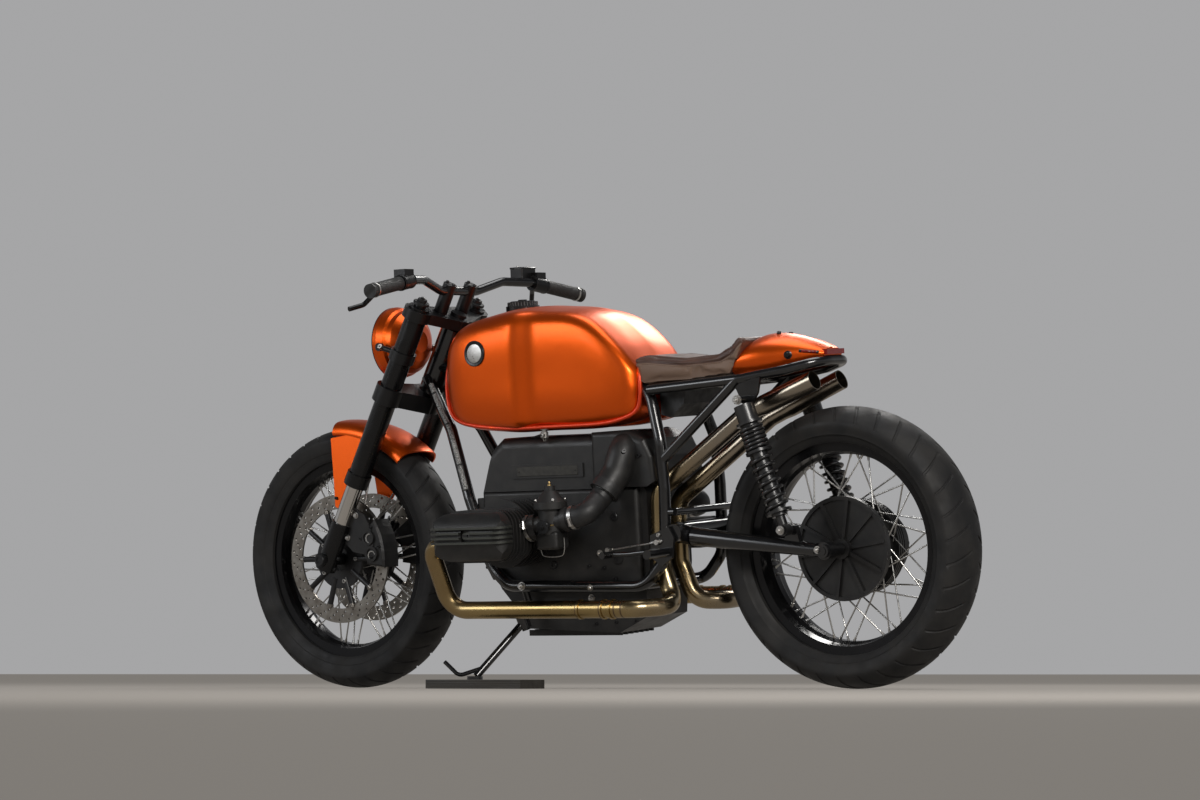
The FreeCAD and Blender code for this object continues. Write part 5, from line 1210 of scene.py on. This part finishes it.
rod_start = Vector((0.603, 0.116, 0.338))
rod_end = Vector((0.440, 0.150, 0.356))
rod_way = (rod_end - rod_start).normalized()
rod_radius = 0.0024
rod_joint = [(0.0060, 0.0), (0.0068, 0.0015), (0.0068, 0.0055), (0.0060, 0.0070)]
lock_nut_radius = 0.0042
points, faces = [], []
tapered_peg(points, faces, rod_start, rod_end, rod_radius, rod_radius, 12)
for middle in (rod_start, rod_end):
    stacked(points, faces, middle - Vector((0, 0.0035, 0)), Vector((0, 1, 0)), rod_joint, 20)
for middle in (rod_start + rod_way * 0.010, rod_end - rod_way * 0.018):
    tapered_peg(points, faces, middle, middle + rod_way * 0.008, lock_nut_radius, lock_nut_radius, 6)
piece("gear_rod", points, faces, parked, "frame", screw_steel)

# Seat
# Waxed brown leather stretched over foam on a steel pan, with the black tray for the electrics
# below it. A sewn seam runs along each edge of the flat top, and the side panels are a shade paler.
leather = finish("brown_leather", (0.050, 0.023, 0.016), 0.0, 0.46)
mottle(leather, (0.082, 0.040, 0.027), 26.0)
polish_varies(leather, 0.36, 0.56, 40.0)
leather_nodes = leather.node_tree.nodes
grain = leather_nodes.new("ShaderNodeTexVoronoi")
grain.inputs["Scale"].default_value = 520.0
grain_place = leather_nodes.new("ShaderNodeTexCoord")
leather.node_tree.links.new(grain_place.outputs["Object"], grain.inputs["Vector"])
emboss(leather, grain.outputs["Distance"], 0.35, 0.0006)
roughen(leather, 60.0, 0.25, 0.0016)
side_panel = leather_nodes.new("ShaderNodeAttribute")
side_panel.attribute_name = "side_panel"
overlay(leather, side_panel.outputs["Fac"], (0.150, 0.094, 0.064), 0.0, 0.50)
dress(soft_rubber, "electrics_tray")

seat_half = 0.108
seam_y = seat_half - 0.018

seat_top = ((0.150, 0.826), (0.208, 0.826), (0.236, 0.800), (0.270, 0.786), (0.370, 0.781), (0.470, 0.792),
            (0.540, 0.790))
edge_seam_drop = 0.0150


def top_height(ahead):
    """Height of the seat's upper edge at a place along the bike."""
    for (first, low), (second, high) in zip(seat_top, seat_top[1:]):
        if first <= ahead <= second:
            return low + (high - low) * (ahead - first) / (second - first)
    return seat_top[-1][1]


def held(value):
    """The value kept between nought and one."""
    return max(0.0, min(1.0, value))


bike_from_row = parked.inverted()
pad = bpy.data.objects.new("leather_seat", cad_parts["seat_pad"].data.copy())
bpy.context.scene.collection.objects.link(pad)
pad.data.materials.clear()

# The upstand before the cowl is a thin sheet, so its front is padded out before the foam is meshed.
hump_foot = 0.275
hump_up = 0.775
hump_padding = 0.0032
for vertex in pad.data.vertices:
    spot = bike_from_row @ vertex.co
    if spot.x < hump_foot and spot.z > top_height(spot.x) - 0.0015:
        share = held((hump_foot - spot.x) / 0.03)
        vertex.co += (row_ahead + row_up * 0.7) * (hump_padding * share)


def apply_last(made, modifier):
    """Bake one modifier into the piece's mesh."""
    bpy.context.view_layer.objects.active = made
    made.select_set(True)
    bpy.ops.object.modifier_apply(modifier=modifier.name)
    made.select_set(False)


fine = pad.modifiers.new("even_mesh", "REMESH")
fine.mode = "VOXEL"
fine.voxel_size = 0.0036
apply_last(pad, fine)
ease = pad.modifiers.new("ease", "SMOOTH")
ease.factor = 0.5
ease.iterations = 2
apply_last(pad, ease)

# The foam is shrunk by what the leather adds, and then the leather swells over it.
leather_room = 0.0030
less_at_hump = 0.0020
for vertex, normal in [(v, v.normal.copy()) for v in pad.data.vertices]:
    spot = bike_from_row @ vertex.co
    thin = held((hump_foot - spot.x) / 0.02) * (spot.z > hump_up)
    vertex.co -= normal * (leather_room - less_at_hump * thin)
foam_form = [v.co.copy() for v in pad.data.vertices]
swell_most = 0.0036
swell_frames = 20
swell = pad.modifiers.new("swell", "CLOTH")
swell.settings.use_pressure = True
swell.settings.uniform_pressure_force = 4.0
swell.settings.mass = 0.3
swell.settings.effector_weights.gravity = 0.0
swell.point_cache.frame_start = 1
swell.point_cache.frame_end = swell_frames
for moment in range(1, swell_frames + 1):
    bpy.context.scene.frame_set(moment)
swollen = pad.evaluated_get(bpy.context.evaluated_depsgraph_get()).data
for vertex, grown, start in zip(pad.data.vertices, swollen.vertices, foam_form):
    shift = grown.co - start
    if shift.length > swell_most:
        shift *= swell_most / shift.length
    vertex.co = start + shift
pad.modifiers.remove(swell)
bpy.context.scene.frame_set(1)
even = pad.modifiers.new("even", "SUBSURF")
even.levels = 1
even.render_levels = 1
apply_last(pad, even)


def seam_dip(distance, depth, puff_at, puff_width):
    """Depth of a sewn seam's groove, with the leather puffed up on both sides of it."""
    puff = 0.0008 * math.exp(-((abs(distance) - puff_at) / puff_width) ** 2)
    return depth * math.exp(-(distance / 0.0022) ** 2) - puff


panel_values = []
for vertex, outward in [(v, v.normal.copy()) for v in pad.data.vertices]:
    spot = bike_from_row @ vertex.co
    normal = bike_from_row.to_3x3() @ outward
    facing = held((normal.z - 0.25) * 3)
    sideways = held((abs(normal.y) - 0.35) * 4)
    from_seam = abs(abs(spot.y) - seam_y)
    below_seam = top_height(spot.x) - edge_seam_drop - spot.z
    top_groove = seam_dip(from_seam, 0.0020, 0.0058, 0.0030) * facing
    edge_groove = seam_dip(below_seam, 0.0019, 0.0056, 0.0028) * sideways
    crown = 0.0030 * max(0.0, 1 - (spot.y / seam_y) ** 2) * facing
    vertex.co -= outward * (top_groove + edge_groove - crown * 0.6)
    panel_values.append(sideways * held(below_seam / 0.0015))
panel = pad.data.attributes.new("side_panel", "FLOAT", "POINT")
panel.data.foreach_set("value", panel_values)
pad.data.shade_smooth()
pad.data.materials.append(leather)
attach(pad, "frame")
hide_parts("seat_pad")

thread = finish("seat_thread", (0.045, 0.026, 0.019), 0.0, 0.7)
mottle(thread, (0.070, 0.042, 0.030), 300.0)
roughen(thread, 2500.0, 0.4, 0.0003)
stitch_points, stitch_faces = [], []


def stitch_row(begins, toward, thread_radius):
    """Row of stitches where lines from the given points meet the leather."""
    previous = None
    for begin in begins:
        spot, outward, _, _ = surface_of(pad).ray_cast(begin, toward)
        if spot is None:
            previous = None
            continue
        if previous is not None:
            start = previous.lerp(spot, 0.18)
            end = previous.lerp(spot, 0.80)
            length = (end - start).length
            stitch = [(0.0003, 0.0), (thread_radius, length * 0.2), (thread_radius, length * 0.8),
                      (0.0003, length)]
            stacked(stitch_points, stitch_faces, start, end - start, stitch, 6)
        previous = spot + outward * 0.0001


stitch_pitch = 0.0068
for line in (-1, 1):
    for offset in (-0.0046, 0.0046):
        stitch_row([parked @ Vector((0.205 + number * stitch_pitch, line * (seam_y + offset), 0.95))
                    for number in range(44)], -row_up, 0.00075)
edge_row = [0.226 + number * stitch_pitch for number in range(39)]
for side in (-1, 1):
    for offset in (-0.0042, 0.0042):
        stitch_row([parked @ Vector((ahead, side * 0.3, top_height(ahead) - edge_seam_drop + offset))
                    for ahead in edge_row], -row_side * side, 0.0008)
piece("seat_stitches", stitch_points, stitch_faces, Matrix(), "frame", thread, sharp=60.0)

# Tail
# The cowl carries a thin red lamp strip and a small black indicator on each side, two screws on
# top and the ribbed red main lamp at its end.
red_glass = finish("red_glass", (0.13, 0.003, 0.003), 0.0, 0.14)
mottle(red_glass, (0.19, 0.006, 0.005), 60.0)
polish_varies(red_glass, 0.10, 0.24, 80.0)
ripples(red_glass, along_line(red_glass, row_origin, row_side), 0.004, 0.4, 0.0005)
dress(red_glass, "tail_lamp")

strip_steps = 8
indicator = [(0.0098, -0.001), (0.0098, 0.0018), (0.0070, 0.0028), (0.0058, 0.0060), (0.0062, 0.0130),
             (0.0048, 0.0146), (0.0020, 0.0148)]
for side, name in ((-1, "right"), (1, "left")):
    inward = (0, -side, 0)
    strip = []
    for step in range(strip_steps + 1):
        share = step / strip_steps
        beside = (0.074 - 0.041 * share, side * 0.3, 0.785 - 0.005 * share)
        strip.append(touch("tail_cowl", beside, inward, parked))
    points, faces = [], []
    swept(points, faces, [spot - outward * 0.0016 for spot, outward in strip], 0.0040, 14)
    piece("lamp_strip_frame_" + name, points, faces, Matrix(), "frame", rim_black)
    points, faces = [], []
    swept(points, faces, [spot - outward * 0.0002 for spot, outward in strip[1:-1]], 0.0032, 14)
    piece("lamp_strip_" + name, points, faces, Matrix(), "frame", red_glass)
    seat, outward = touch("tail_cowl", (0.097, side * 0.3, 0.777), inward, parked)
    points, faces = [], []
    stacked(points, faces, seat, outward, indicator, 24)
    piece("indicator_" + name, points, faces, Matrix(), "frame", rim_black)
points, faces = [], []
for side in (-1, 1):
    seat, outward = touch("tail_cowl", (0.151, side * 0.026, 1.0), (0, 0, -1), parked)
    stacked(points, faces, seat, outward, socket_head(0.0052), 20)
piece("cowl_screws", points, faces, Matrix(), "frame", black_screw)

# Stand and board
# The stand's gloss black tube rests on a worn offcut of black film-faced plywood, whose pale
# layers show faintly along its sawn edges.
dress(gloss_black, "side_stand")
board_black = finish("board_black", (0.020, 0.017, 0.014), 0.0, 0.6)
mottle(board_black, (0.032, 0.027, 0.021), 30.0, stretch=(0.2, 3, 1))
polish_varies(board_black, 0.5, 0.72, 26.0, stretch=(0.2, 3, 1))
roughen(board_black, 260.0, 0.4, 0.0006, stretch=(0.1, 1, 1))
above_floor = along_line(board_black, Vector((0, 0, 0)), Vector((0, 0, 1)))
ripples(board_black, above_floor, 0.0042, 0.3, 0.0006)
dress(board_black, "stand_board")
